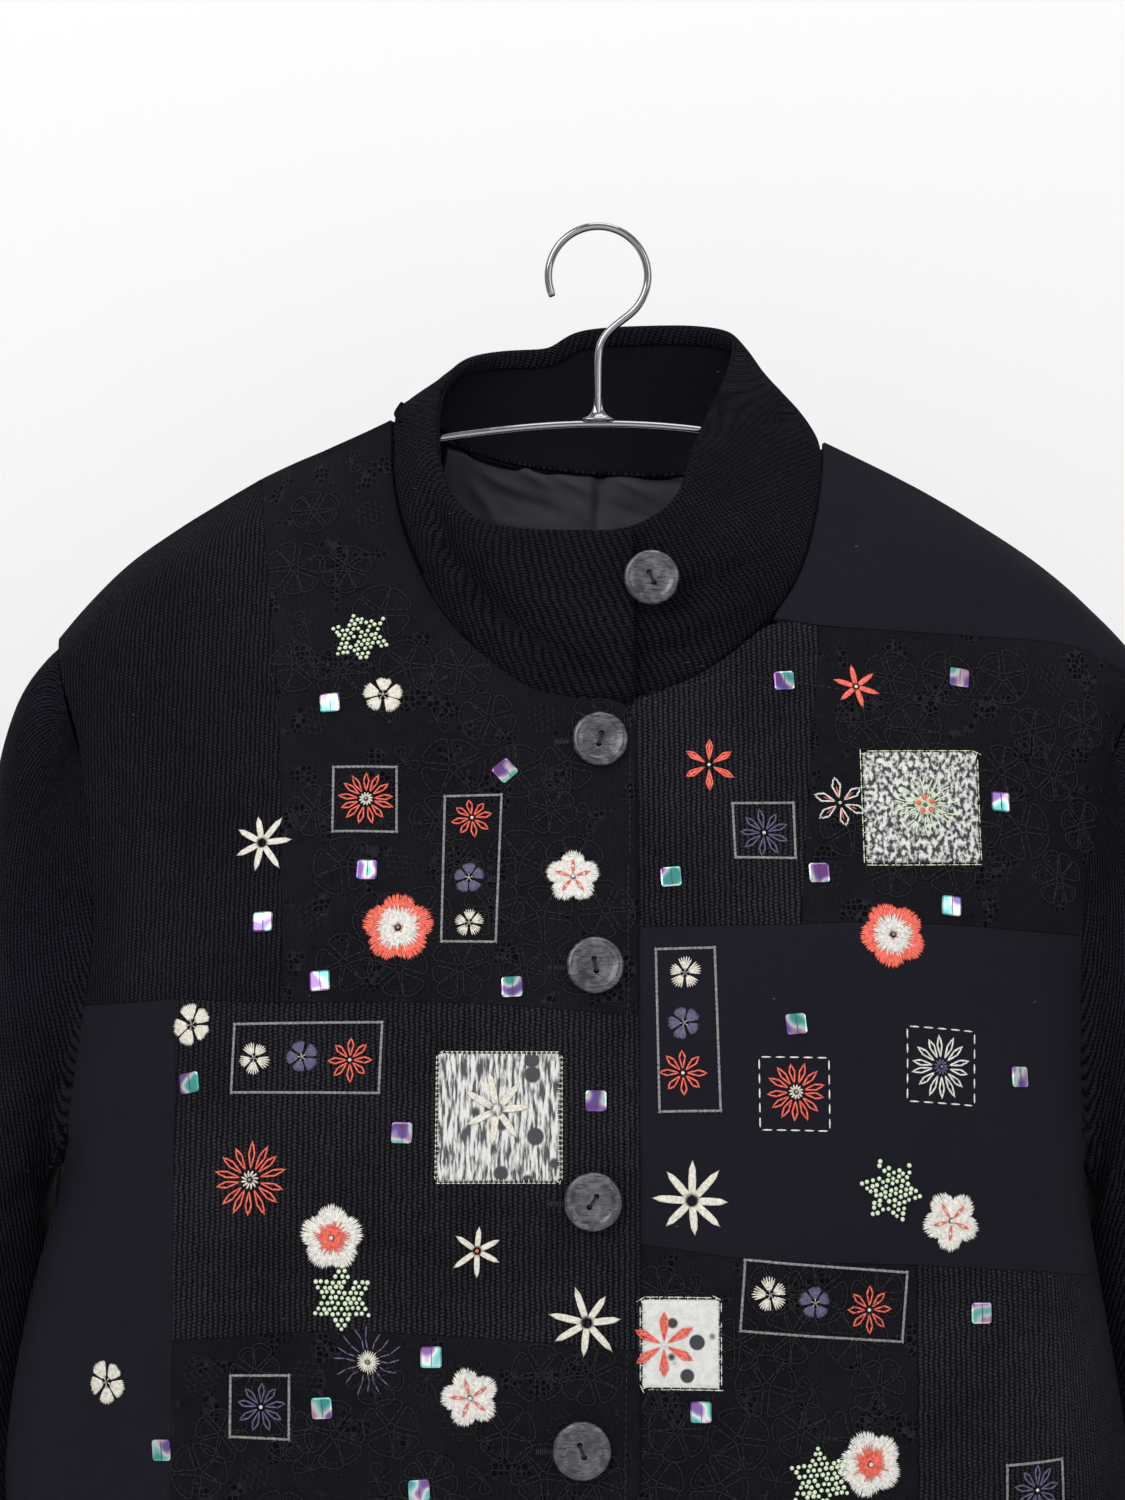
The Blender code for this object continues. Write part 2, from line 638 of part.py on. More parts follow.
def build_left_front(collection, materials):
    """The six panels of the left front, whose inner edge runs under the right front."""
    ridge = side_line(FRONT, 1, LEFT_NECK_POINT, LEFT_TIP, 9)
    neck_yoke = seam(FRONT, LEFT_NECK_YOKE, 5)
    neck_knit = seam(FRONT, LEFT_NECK_KNIT, 8)
    yoke_neck = seam(FRONT, LEFT_YOKE_SEAM_NECK, 1)
    yoke = seam(FRONT, LEFT_YOKE_SEAM, 8)
    arm_yoke = seam(FRONT, LEFT_ARMHOLE_YOKE, 5)
    armhole = seam(FRONT, LEFT_ARMHOLE_FRONT, 7)
    underarm = seam(FRONT, LEFT_ARMHOLE_UNDER, 5)
    upper = seam(FRONT, LEFT_UPPER_SEAM, 7)
    bust_front = seam(FRONT, LEFT_BUST_SEAM_FRONT, 9)
    bust_side = seam(FRONT, LEFT_BUST_SEAM_SIDE, 8)
    waist_end = (row_at(BODY_LEVELS, LEFT_WAIST_END)[1], LEFT_WAIST_END)
    waist_front = seam(FRONT, LEFT_WAIST_SEAM_FRONT, 10)
    waist_side = seam(FRONT, (*LEFT_WAIST_SEAM_SIDE, waist_end), 7)
    side_top = side_line(FRONT, 1, UNDERARM, LEFT_WAIST_END, 2)
    side_low = side_line(FRONT, 1, LEFT_WAIST_END, BAND_TOP, 7)
    low_seam = seam(FRONT, LEFT_LOW_SEAM, 7)
    hem_front = seam(FRONT, ((UNDER_EDGE_X, BAND_TOP), (125.0, BAND_TOP)), 10)
    hem_side = seam(FRONT, ((125.0, BAND_TOP), (HEM_LEFT_END, BAND_TOP)), 7)
    panels = (
        ("left_front_yoke", "smooth_cloth",
         (chain(yoke_neck, yoke), ridge, neck_yoke, arm_yoke[::-1])),
        ("left_front_upper_knit", "knit_cloth",
         (bust_front, chain(neck_knit, yoke_neck),
          vertical_edge(UNDER_EDGE_X, LEFT_BUST_EDGE, LEFT_NECK_EDGE, 7), upper)),
        ("left_front_upper_lace", "lace", (bust_side, yoke, upper, armhole[::-1])),
        ("left_front_middle", "smooth_cloth",
         (chain(waist_front, waist_side), chain(bust_front, bust_side),
          vertical_edge(UNDER_EDGE_X, LEFT_WAIST_EDGE, LEFT_BUST_EDGE, 7),
          chain(underarm, side_top)[::-1])),
        ("left_front_lower_lace", "lace",
         (hem_front, waist_front, vertical_edge(UNDER_EDGE_X, BAND_TOP, LEFT_WAIST_EDGE, 7),
          low_seam)),
        ("left_front_lower_knit", "knit_cloth", (hem_side, waist_side, low_seam, side_low[::-1])),
    )
    for name, finish, edges in panels:
        panel(name, FRONT, "left", edges, WALL, 0.0, collection, materials[finish])


def build_back(collection, materials):
    """The back, and the stretch of its lining that shows inside the neck."""
    ridges_right = chain(side_line(BACK, 0, RIGHT_TIP, RIGHT_SEAM_TOP, 6),
                         side_line(BACK, 0, RIGHT_SEAM_TOP, RIGHT_NECK_POINT, 2))
    ridge_left = side_line(BACK, 1, LEFT_NECK_POINT, LEFT_TIP, 9)
    neck = seam(BACK, neck_places(8, 16), 10)
    right_edge = chain(side_line(BACK, 0, BAND_TOP, UNDERARM, 10),
                       seam(BACK, RIGHT_ARMHOLE_BACK, 13))
    left_edge = chain(side_line(BACK, 1, BAND_TOP, LEFT_WAIST_END, 7),
                      side_line(BACK, 1, LEFT_WAIST_END, UNDERARM, 2),
                      seam(BACK, LEFT_ARMHOLE_BACK, 14))
    top = chain(ridges_right, neck, ridge_left)
    hem = seam(BACK, ((HEM_RIGHT_END, BAND_TOP), (HEM_LEFT_END, BAND_TOP)), len(top) - 1)
    panel("back", BACK, "", (hem, top, right_edge, left_edge), WALL, 0.0, collection,
          materials["knit_cloth"])
    low_right = (-LINING_HALF, LINING_HEM)
    low_left = (LINING_HALF, LINING_HEM)
    lining_top = seam(BACK, (LINING_RIGHT, *neck_places(10, 14), LINING_LEFT), 12)
    lining_hem = seam(BACK, (low_right, low_left), 12)
    lining_right = seam(BACK, (low_right, LINING_RIGHT), 8)
    lining_left = seam(BACK, (low_left, LINING_LEFT), 8)
    panel("back_lining", BACK, "", (lining_hem, lining_top, lining_right, lining_left),
          LINING_WALL, LINING_DEPTH, collection, materials["lining_cloth"])


def build_collar(collection, materials):
    """The stand collar: a thick outer strip and a thin lining inside it."""
    base = []
    rise = []
    for side, x, height, top_x, top_y, top_z, bulge, lift in COLLAR_STATIONS:
        angle = angle_at(side, x, height)
        normal = body_normal(side, angle, height)
        base.append(body_point(side, angle, height) + normal * lift)
        rise.append((Vector((top_x, top_y, top_z)), bulge))
    steps = (len(base) - 1) * COLLAR_STEPS_BETWEEN
    base_line = station_curve(base, COLLAR_STEPS_BETWEEN)
    top_line = station_curve([top for top, bulge in rise], COLLAR_STEPS_BETWEEN)
    bulges = [bulge for top, bulge in rise]
    centre = Vector((*COLLAR_CENTRE, 0.0))
    rows = []
    for level in range(COLLAR_STEPS_UP + 1):
        high = level / COLLAR_STEPS_UP
        row = []
        for step in range(steps + 1):
            low, top = base_line[step], top_line[step]
            station = min(step // COLLAR_STEPS_BETWEEN, len(bulges) - 2)
            share = step / COLLAR_STEPS_BETWEEN - station
            bulge = bulges[station] * (1 - share) + bulges[station + 1] * share
            away = Vector((low.x + top.x, low.y + top.y, 0.0)) / 2 - centre
            lift = away.normalized() * bulge * math.sin(math.pi * high)
            start = low.lerp(top, COLLAR_SEAM_GAP / (top - low).length)
            row.append(start.lerp(top, high) + lift)
        rows.append(row)
    rows = [list(reversed(row)) for row in rows]
    away = soften(grid_normals(rows, False), COLLAR_SOFTENING)
    lining_depth = COLLAR_WALL + COLLAR_LAYER_GAP
    outer_in = offset_grid(rows, away, -COLLAR_WALL)
    lining_base = [low.lerp(high, COLLAR_LINING_RISE) for low, high in zip(rows[0], rows[1])]
    raised = [lining_base] + rows[1:]
    lining_out = offset_grid(raised, away, -lining_depth)
    lining_in = offset_grid(raised, away, -lining_depth - COLLAR_LINING_WALL)
    sheet("collar", rows, outer_in, collection, materials["knit_cloth"])
    sheet("collar_lining", lining_out, lining_in, collection, materials["lining_cloth"])


def station_curve(points, between):
    """A smooth line with the same number of steps between each pair of stations."""
    line = [points[0] * 2 - points[1]] + points + [points[-1] * 2 - points[-2]]
    samples = []
    for piece in range(len(points) - 1):
        for step in range(between):
            samples.append(spline(*line[piece:piece + 4], step / between))
    samples.append(points[-1])
    return samples


def grid_normals(grid, closed):
    """Outward directions of a grid whose columns run to the right seen from outside."""
    rows, columns = len(grid), len(grid[0])
    last = columns - 1
    normals = []
    for row in range(rows):
        line = []
        for column in range(columns):
            before = column - 1
            after = column + 1
            if closed:
                before = before if before >= 0 else last - 1
                after = after if after <= last else 1
            before, after = max(before, 0), min(after, last)
            along = grid[row][after] - grid[row][before]
            up = grid[min(row + 1, rows - 1)][column] - grid[max(row - 1, 0)][column]
            line.append(along.cross(up).normalized())
        normals.append(line)
    return normals


def soften(normals, passes):
    """Even out directions along each row, so that an inner layer doesn't cross itself."""
    for turn in range(passes):
        softer = []
        for row, line in enumerate(normals):
            above = normals[min(row + 1, len(normals) - 1)]
            below = normals[max(row - 1, 0)]
            last = len(line) - 1
            softer.append([(line[max(step - 1, 0)] + line[min(step + 1, last)] + line[step] * 2
                            + above[step] + below[step]).normalized() for step in range(last + 1)])
        normals = softer
    return normals


def offset_grid(grid, normals, distance):
    """A grid moved along its normals."""
    return [[point + normal * distance for point, normal in zip(line, directions)]
            for line, directions in zip(grid, normals)]


def section_ring(section, front_steps, back_steps):
    """A closed ring of a sleeve section: top, front, underarm, back and to the top again."""
    outer_x, outer_z, inner_x, inner_z, centre_y, half_depth = section
    outer = Vector((outer_x, centre_y, outer_z))
    inner = Vector((inner_x, centre_y, inner_z))
    middle = (outer + inner) / 2
    reach = (outer - inner) / 2
    ring = []
    for step in range(front_steps + back_steps + 1):
        if step <= front_steps:
            turn = math.pi * step / front_steps
        else:
            turn = math.pi * (1 + (step - front_steps) / back_steps)
        deep = Vector((0.0, -half_depth * math.sin(turn), 0.0))
        ring.append(middle + reach * math.cos(turn) + deep)
    return ring


def mirror_section(section):
    """The same section on the other side of the body's own middle line."""
    outer_x, outer_z, inner_x, inner_z, centre_y, half_depth = section
    outer_middle = sum(row_at(BODY_LEVELS, max(outer_z, BAND_TOP))[:2])
    inner_middle = sum(row_at(BODY_LEVELS, max(inner_z, BAND_TOP))[:2])
    return (outer_middle - outer_x, outer_z, inner_middle - inner_x, inner_z, centre_y, half_depth)


def sleeve_rings(sections, front_steps, back_steps, first_ring=None):
    """Rings of a sleeve, with smooth steps between its sections."""
    rings = [section_ring(section, front_steps, back_steps) for section in sections]
    if first_ring:
        rings.insert(0, first_ring)
    columns = [station_curve(list(line), SLEEVE_STEPS_BETWEEN) for line in zip(*rings)]
    return [list(line) for line in zip(*columns)]


def blend_normals(own, body):
    """The body's direction where the sleeve goes on from it, the sleeve's own at the underarm."""
    share = min(max(own.dot(body) / SLEEVE_BLEND, 0.0), 1.0)
    return own.lerp(body, share).normalized()


def build_sleeve(name, armhole, sections, outward, collection, materials):
    """A sleeve from its armhole to its cuff seam, and the cuff."""
    front, back = armhole
    pairs = [(FRONT, place) for place in front] + [(BACK, place) for place in back[1:]]
    first_ring = []
    first_normals = []
    for side, place in pairs:
        angle = angle_of(side, place)
        first_ring.append(body_point(side, angle, place.y))
        first_normals.append(body_normal(side, angle, place.y))
    steps = (len(front) - 1, len(back) - 1)
    rings = sleeve_rings(sections, *steps, first_ring)
    cuff = sleeve_rings([section for section in outward(CUFF_SECTIONS)], *steps)
    for part, lines in ((name, rings), (name.replace("sleeve", "cuff"), cuff)):
        grid = lines[::-1]
        if part.endswith("left"):
            grid = [list(reversed(line)) for line in grid]
        normals = grid_normals(grid, True)
        if part == name:
            body_side = first_normals[::-1] if part.endswith("left") else first_normals
            normals[-1] = [blend_normals(own, body) for own, body in zip(normals[-1], body_side)]
        inner = offset_grid(grid, normals, -WALL)
        sheet(part, pull_in(grid, SEAM_HALF_GAP, True), pull_in(inner, SEAM_HALF_GAP, True),
              collection, materials["knit_cloth"], closed=True)


def build_sleeves(collection, materials):
    """Both sleeves with their cuffs."""
    right_front = chain(seam(FRONT, RIGHT_ARMHOLE_FRONT, 16), seam(FRONT, RIGHT_ARMHOLE_UNDER, 4))
    right_back = seam(BACK, RIGHT_ARMHOLE_BACK, 13)
    left_front = chain(seam(FRONT, LEFT_ARMHOLE_YOKE, 5), seam(FRONT, LEFT_ARMHOLE_FRONT, 7),
                       seam(FRONT, LEFT_ARMHOLE_UNDER, 5))
    left_back = seam(BACK, LEFT_ARMHOLE_BACK, 14)
    build_sleeve("sleeve_right", (right_front, right_back), SLEEVE_SECTIONS, list, collection,
                 materials)
    build_sleeve("sleeve_left", (left_front, left_back),
                 [mirror_section(section) for section in SLEEVE_SECTIONS],
                 lambda rows: [mirror_section(section) for section in rows], collection, materials)


def build_band(collection, materials):
    """The hem band: one strip from the over edge round the body to the under edge."""
    steps = BAND_STEPS_ACROSS
    over_edge = angle_at(FRONT, OVER_EDGE_X, BAND_TOP)
    under_edge = angle_at(FRONT, UNDER_EDGE_X, BAND_TOP)
    right = [(FRONT, "right", angle) for angle in spread(over_edge, -QUARTER, steps)]
    back = [(BACK, "", angle) for angle in spread(-QUARTER, QUARTER, 2 * steps)]
    left = [(FRONT, "left", angle) for angle in spread(QUARTER, under_edge, steps)]
    path = right + back[1:-1] + left
    outer = []
    inner = []
    for level in range(BAND_STEPS_DOWN + 1):
        height = BAND_BOTTOM + (BAND_TOP - BAND_SEAM_GAP - BAND_BOTTOM) * level / BAND_STEPS_DOWN
        outer_row = []
        inner_row = []
        for side, owner, angle in path:
            point = body_point(side, angle, height)
            normal = body_normal(side, angle, height)
            point += normal * overlap_lift(owner, point.x)
            outer_row.append(point)
            inner_row.append(point - normal * WALL)
        outer.append(outer_row[::-1])
        inner.append(inner_row[::-1])
    sheet("hem_band", pull_in(outer, SEAM_HALF_GAP, False), pull_in(inner, SEAM_HALF_GAP, False),
          collection, materials["knit_cloth"])


# Hanger, buttons and patches

def wire(name, points, collection, material):
    """A round wire along a line of points, with closed ends."""
    curve = bpy.data.curves.new(name, "CURVE")
    curve.dimensions = "3D"
    curve.bevel_depth = WIRE_RADIUS * MM
    curve.bevel_resolution = 2
    curve.use_fill_caps = True
    line = curve.splines.new("POLY")
    line.points.add(len(points) - 1)
    for knot, point in zip(line.points, points):
        knot.co = (*(point * MM), 1.0)
    item = bpy.data.objects.new(name, curve)
    item.data.materials.append(material)
    collection.objects.link(item)
    return item


def ridge_height(x):
    """The height of the shoulder ridge over a place of the hanger bar."""
    low, high = LEFT_TIP, BODY_LEVELS[0][0]
    column = 0 if x < 0 else 1
    while high - low > RIDGE_SEARCH_END:
        middle = (low + high) / 2
        if abs(row_at(BODY_LEVELS, middle)[column]) > abs(x):
            low = middle
        else:
            high = middle
    return low


def build_hanger(collection, materials):
    """The bar that carries the shoulders, and the hook with its stem."""
    open_x, open_z = BAR_OPEN_PLACE
    places = [(-x, ridge_height(-x) - BAR_BELOW_RIDGE) for x in BAR_UNDER_SHOULDERS[::-1]]
    places += [(-open_x, open_z), (0.0, BAR_TOP), (open_x, open_z)]
    places += [(x, ridge_height(x) - BAR_BELOW_RIDGE) for x in BAR_UNDER_SHOULDERS]
    stations = [Vector((x, 0.0, z)) for x, z in places]
    wire("hanger_bar", station_curve(stations, BAR_STEPS_BETWEEN), collection,
         materials["chrome_wire"])
    centre = Vector((0.0, 0.0, WIRE_RADIUS - HOOK_RADIUS))
    stem = [Vector((0.0, 0.0, BAR_TOP + WIRE_RADIUS + STEM_GAP))]
    stem += [Vector((x, 0.0, z)) for x, z in STEM_PLACES]
    for angle in spread(HOOK_FIRST_ANGLE, HOOK_LAST_ANGLE, HOOK_STEPS):
        turn = math.radians(angle)
        stem.append(centre + Vector((math.cos(turn), 0.0, math.sin(turn))) * HOOK_RADIUS)
    wire("hanger_hook", stem, collection, materials["chrome_wire"])


def cloth_tree(name):
    """The faces of a finished piece, for finding points on it."""
    mesh = bpy.data.objects[name].data
    return BVHTree.FromPolygons([vert.co / MM for vert in mesh.vertices],
                                [tuple(face.vertices) for face in mesh.polygons])


def surface_below(trees, x, height):
    """The front point and outward direction of the cloth at a place of the front view."""
    best = None
    for tree in trees:
        hit, normal, index, distance = tree.ray_cast(Vector((x, -CAST_START, height)),
                                                     Vector((0.0, 1.0, 0.0)))
        if hit and (best is None or hit.y < best[0].y):
            best = (hit, normal if normal.y < 0 else -normal)
    return best


def seat_lift(trees, point, normal, radius):
    """How far the cloth under a round piece stands above the piece's own centre."""
    side = normal.orthogonal().normalized()
    lift = 0.0
    for step in range(SEAT_DIRECTIONS):
        turned = Matrix.Rotation(2 * math.pi * step / SEAT_DIRECTIONS, 3, normal) @ side
        for reach in (radius / 2, radius):
            start = point + turned * reach + normal * SEAT_HEIGHT
            for tree in trees:
                hit, facing, index, distance = tree.ray_cast(start, -normal, 2 * SEAT_HEIGHT)
                if hit:
                    lift = max(lift, SEAT_HEIGHT - distance)
    return lift


def button_cutter(name, matrix, cutters):
    """The cutter of a button's two thread holes."""
    model = bmesh.new()
    for place in (-HOLE_SPACING / 2, HOLE_SPACING / 2):
        bmesh.ops.create_cone(model, cap_ends=True, segments=HOLE_SIDES, radius1=HOLE_RADIUS * MM,
                              radius2=HOLE_RADIUS * MM, depth=3 * BUTTON_THICKNESS * MM,
                              matrix=Matrix.Translation((0.0, place * MM, 0.0)))
    mesh = bpy.data.meshes.new(name)
    model.to_mesh(mesh)
    model.free()
    cutter = bpy.data.objects.new(name, mesh)
    cutter.matrix_world = matrix
    cutter.hide_render = True
    cutters.objects.link(cutter)
    return cutter


def build_button(number, point, normal, gap, collection, cutters, material):
    """A two-hole button lying on the cloth."""
    name = f"button_{number}"
    model = bmesh.new()
    bmesh.ops.create_cone(model, cap_ends=True, segments=BUTTON_SIDES, radius1=BUTTON_RADIUS * MM,
                          radius2=BUTTON_RADIUS * MM, depth=BUTTON_THICKNESS * MM)
    rims = [edge for edge in model.edges if len({len(face.verts) for face in edge.link_faces}) == 2]
    bmesh.ops.bevel(model, geom=rims, offset=BUTTON_BEVEL * MM, segments=1, profile=0.5,
                    affect="EDGES", material=-1)
    mesh = bpy.data.meshes.new(name)
    model.to_mesh(mesh)
    model.free()
    button = link(mesh, name, collection, material)
    turn = normal.to_track_quat("Z", "Y").to_matrix().to_4x4()
    centre = (point + normal * (gap + BUTTON_THICKNESS / 2)) * MM
    button.matrix_world = Matrix.Translation(centre) @ turn
    holes = button.modifiers.new("holes", "BOOLEAN")
    holes.operation = "DIFFERENCE"
    holes.object = button_cutter(f"{name}_holes", button.matrix_world, cutters)


def build_buttons(collection, cutters, materials):
    """The collar button, then the buttons down the right front."""
    plastic = materials["button_plastic"]
    fronts = [cloth_tree(name) for name in BUTTON_CARRIERS]
    for number, (x, height) in enumerate(BUTTON_PLACES, start=1):
        trees = [cloth_tree("collar")] if number == 1 else fronts
        point, normal = surface_below(trees, x, height)
        gap = BUTTON_GAP + seat_lift(trees, point, normal, BUTTON_RADIUS)
        build_button(number, point, normal, gap, collection, cutters, plastic)


def build_patch(name, carrier, left, right, bottom, top, steps, collection, material):
    """A patch whose points are those of its panel moved out."""
    trees = [cloth_tree(carrier)]
    outer = []
    inner = []
    for height in spread(bottom, top, steps):
        outer_row = []
        inner_row = []
        for x in spread(left, right, steps):
            point, normal = surface_below(trees, x, height)
            inner_row.append(point + normal * PATCH_GAP)
            outer_row.append(point + normal * (PATCH_GAP + PATCH_WALL))
        outer.append(outer_row)
        inner.append(inner_row)
    sheet(name, outer, inner, collection, material)


def build_patches(collection, materials):
    """The three patches sewn onto the fronts."""
    for row in PATCHES:
        build_patch(*row, collection, materials["patch_cloth"])


def main():
    """Build the jacket and its hanger."""
    clear_scene()
    jacket = make_collection("blouson_jacket_on_hanger")
    cutters = make_collection("cutters")
    materials = make_finishes()
    build_right_front(jacket, materials)
    build_left_front(jacket, materials)
    build_back(jacket, materials)
    build_collar(jacket, materials)
    build_sleeves(jacket, materials)
    build_band(jacket, materials)
    build_hanger(jacket, materials)
    build_buttons(jacket, cutters, materials)
    build_patches(jacket, materials)


main()
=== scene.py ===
"""Looks of a patchwork blouson jacket on a wire hanger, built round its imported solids.

Everything is in metres with +Z up. The front of the jacket faces -Y and the wearer's right side
is at -X. Places of the embroidery are pixels of the 1125 x 1500 photograph, seen by the camera
below; its sizes are millimetres.
"""

import math
import random

import bmesh
import bpy
import numpy as np
from mathutils import Matrix, Vector, noise
from mathutils.bvhtree import BVHTree
from mathutils.kdtree import KDTree


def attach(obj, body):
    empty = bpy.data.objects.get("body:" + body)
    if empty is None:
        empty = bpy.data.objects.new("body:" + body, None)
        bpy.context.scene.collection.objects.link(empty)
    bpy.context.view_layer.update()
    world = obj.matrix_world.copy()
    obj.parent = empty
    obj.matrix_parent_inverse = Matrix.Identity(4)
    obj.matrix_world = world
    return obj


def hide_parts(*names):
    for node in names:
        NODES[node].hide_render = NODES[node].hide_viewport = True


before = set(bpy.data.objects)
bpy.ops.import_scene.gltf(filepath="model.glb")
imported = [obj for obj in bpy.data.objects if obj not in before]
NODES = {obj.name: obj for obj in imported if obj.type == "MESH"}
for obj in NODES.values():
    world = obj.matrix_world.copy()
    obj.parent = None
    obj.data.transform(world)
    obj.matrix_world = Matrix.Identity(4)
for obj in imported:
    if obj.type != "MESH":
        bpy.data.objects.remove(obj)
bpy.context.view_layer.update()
BODY = "root"
MM = 0.001
UP = Vector((0.0, 0.0, 1.0))

# Camera
CAMERA_PLACE = Vector((-0.0156, -1.25, -0.228))
LENS = 68.4
SENSOR = 36.0
PHOTO_WIDTH = 1125
PHOTO_HEIGHT = 1500
PIXELS_PER_SLOPE = LENS / SENSOR * PHOTO_HEIGHT
# At the cloth's middle depth, and at the fronts
MM_PER_PIXEL = 0.42
FRONT_MM_PER_PIXEL = 0.405
SEED = 41

# Cloth
WALL = 0.0013
COLLAR_WALL = 0.0015
LINING_WALL = 0.0009
MERGE = 0.00002
THICKEST_WALL = 0.004
OPPOSITE = -0.85
SKIN_BEND = 0.4
SKIN_QUAD_ANGLE = 55
SEAM_DIP = 0.00045
SEAM_DIP_NEXT = 0.00012
BODY_HEART = Vector((-0.010, -0.035, -0.30))

# Each cloth piece: which skin shows, slot, finish, wall, subdivisions, cut width and length in mm
OUTSIDE = 1
INSIDE = -1
CLOTHS = (
    ("back", OUTSIDE, "knit", "body knit", WALL, 2, 540, 500),
    ("right_front_shoulder", OUTSIDE, "knit", "body knit", WALL, 2, 130, 230),
    ("right_front_upper", OUTSIDE, "lace", "lace", WALL, 2, 170, 255),
    ("right_front_side", OUTSIDE, "smooth_cloth", "smooth cloth", WALL, 2, 118, 245),
    ("right_front_middle", OUTSIDE, "knit", "panel knit", WALL, 2, 190, 137),
    ("right_front_lower", OUTSIDE, "lace", "lace", WALL, 2, 187, 118),
    ("left_front_yoke", OUTSIDE, "smooth_cloth", "smooth cloth", WALL, 2, 185, 110),
    ("left_front_upper_knit", OUTSIDE, "knit", "panel knit", WALL, 2, 130, 131),
    ("left_front_upper_lace", OUTSIDE, "lace", "lace", WALL, 2, 166, 133),
    ("left_front_middle", OUTSIDE, "smooth_cloth", "smooth cloth", WALL, 2, 288, 152),
    ("left_front_lower_lace", OUTSIDE, "lace", "lace", WALL, 2, 161, 152),
    ("left_front_lower_knit", OUTSIDE, "knit", "panel knit", WALL, 2, 138, 142),
    ("collar", OUTSIDE, "knit", "collar knit", COLLAR_WALL, 3, 425, 85),
    ("sleeve_right", OUTSIDE, "knit", "sleeve knit", WALL, 2, 325, 515),
    ("sleeve_left", OUTSIDE, "knit", "sleeve knit", WALL, 2, 325, 515),
    ("cuff_right", OUTSIDE, "knit", "rib knit", WALL, 2, 226, 58),
    ("cuff_left", OUTSIDE, "knit", "rib knit", WALL, 2, 226, 58),
    ("hem_band", OUTSIDE, "knit", "rib knit", WALL, 2, 1000, 63),
    ("collar_lining", INSIDE, "lining", "facing", LINING_WALL, 2, 420, 80),
    ("back_lining", INSIDE, "lining", "lining", LINING_WALL, 3, 195, 135),
)
TUBES = ("sleeve_right", "sleeve_left", "cuff_right", "cuff_left", "hem_band", "collar",
         "collar_lining")
LININGS = ("collar_lining", "back_lining")
LACE_PANELS = ("right_front_upper", "right_front_lower", "left_front_upper_lace",
               "left_front_lower_lace")


# Small helpers

def new_object(mesh, name):
    """Put a mesh in the scene as an object at the origin."""
    item = bpy.data.objects.new(name, mesh)
    bpy.context.scene.collection.objects.link(item)
    return item


def mesh_from(model, name):
    """A mesh from a finished bmesh."""
    mesh = bpy.data.meshes.new(name)
    model.to_mesh(mesh)
    model.free()
    return mesh


def merged_node(name):
    """A bmesh of a CAD node with its loose triangles joined at their corners."""
    model = bmesh.new()
    model.from_mesh(NODES[name].data)
    bmesh.ops.remove_doubles(model, verts=model.verts[:], dist=MERGE)
    return model


def join_quads(model, shape_angle):
    """Pairs of flat triangles become quads."""
    bmesh.ops.join_triangles(model, faces=model.faces[:], angle_face_threshold=math.radians(40),
                             angle_shape_threshold=math.radians(shape_angle))


def mark_sharp(model, degrees):
    """Sharp edges where the form bends more."""
    for edge in model.edges:
        if len(edge.link_faces) == 2 and edge.calc_face_angle() > math.radians(degrees):
            edge.smooth = False


def smooth_by_angle(mesh, degrees):
    """Smooth faces with sharp edges where the form bends more."""
    mesh.shade_smooth()
    model = bmesh.new()
    model.from_mesh(mesh)
    mark_sharp(model, degrees)
    model.to_mesh(mesh)
    model.free()


def move_out(mesh, lift):
    """Move every point outwards by what a function of its place says."""
    normals = [vert.normal.copy() for vert in mesh.vertices]
    for vert, normal in zip(mesh.vertices, normals):
        vert.co += normal * lift(vert.co)


def settled(item):
    """The object's mesh with its modifiers worked in."""
    bpy.context.view_layer.update()
    evaluated = item.evaluated_get(bpy.context.evaluated_depsgraph_get())
    return bpy.data.meshes.new_from_object(evaluated)


def refined(mesh, name, levels):
    """A smooth, denser copy of an open skin that keeps its corners."""
    item = new_object(mesh, name)
    smooth = item.modifiers.new("smooth", "SUBSURF")
    smooth.levels = levels
    smooth.render_levels = levels
    smooth.boundary_smooth = "PRESERVE_CORNERS"
    fine = settled(item)
    bpy.data.objects.remove(item)
    return fine


def lathe(profile, turns):
    """A round solid from radius and height rows in millimetres."""
    model = bmesh.new()
    verts = [model.verts.new((radius * MM, 0.0, height * MM)) for radius, height in profile]
    for first, last in zip(verts, verts[1:]):
        model.edges.new((first, last))
    bmesh.ops.spin(model, geom=model.verts[:] + model.edges[:], cent=(0, 0, 0), axis=(0, 0, 1),
                   angle=math.tau, steps=turns)
    bmesh.ops.remove_doubles(model, verts=model.verts[:], dist=MERGE)
    bmesh.ops.dissolve_degenerate(model, edges=model.edges[:], dist=MERGE)
    bmesh.ops.recalc_face_normals(model, faces=model.faces[:])
    return model


def between(value, low, high):
    """A smooth share from 0 at low to 1 at high."""
    share = min(max((value - low) / (high - low), 0.0), 1.0)
    return share * share * (3 - 2 * share)


def read_rows(rows, key):
    """Read a table between its rows; the first column falls from row to row."""
    if key >= rows[0][0]:
        return rows[0][1:]
    for above, below in zip(rows, rows[1:]):
        if key >= below[0]:
            share = (above[0] - key) / (above[0] - below[0])
            return [a + (b - a) * share for a, b in zip(above[1:], below[1:])]
    return rows[-1][1:]


def sight(px, py):
    """The direction from the camera through a pixel of the photograph."""
    return Vector(((px - PHOTO_WIDTH / 2) / PIXELS_PER_SLOPE, 1.0,
                   (PHOTO_HEIGHT / 2 - py) / PIXELS_PER_SLOPE)).normalized()


def screen_place(co):
    """Where the camera sees a point, in pixels of the photograph."""
    away = co - CAMERA_PLACE
    return Vector((PHOTO_WIDTH / 2 + PIXELS_PER_SLOPE * away.x / away.y,
                   PHOTO_HEIGHT / 2 - PIXELS_PER_SLOPE * away.z / away.y))


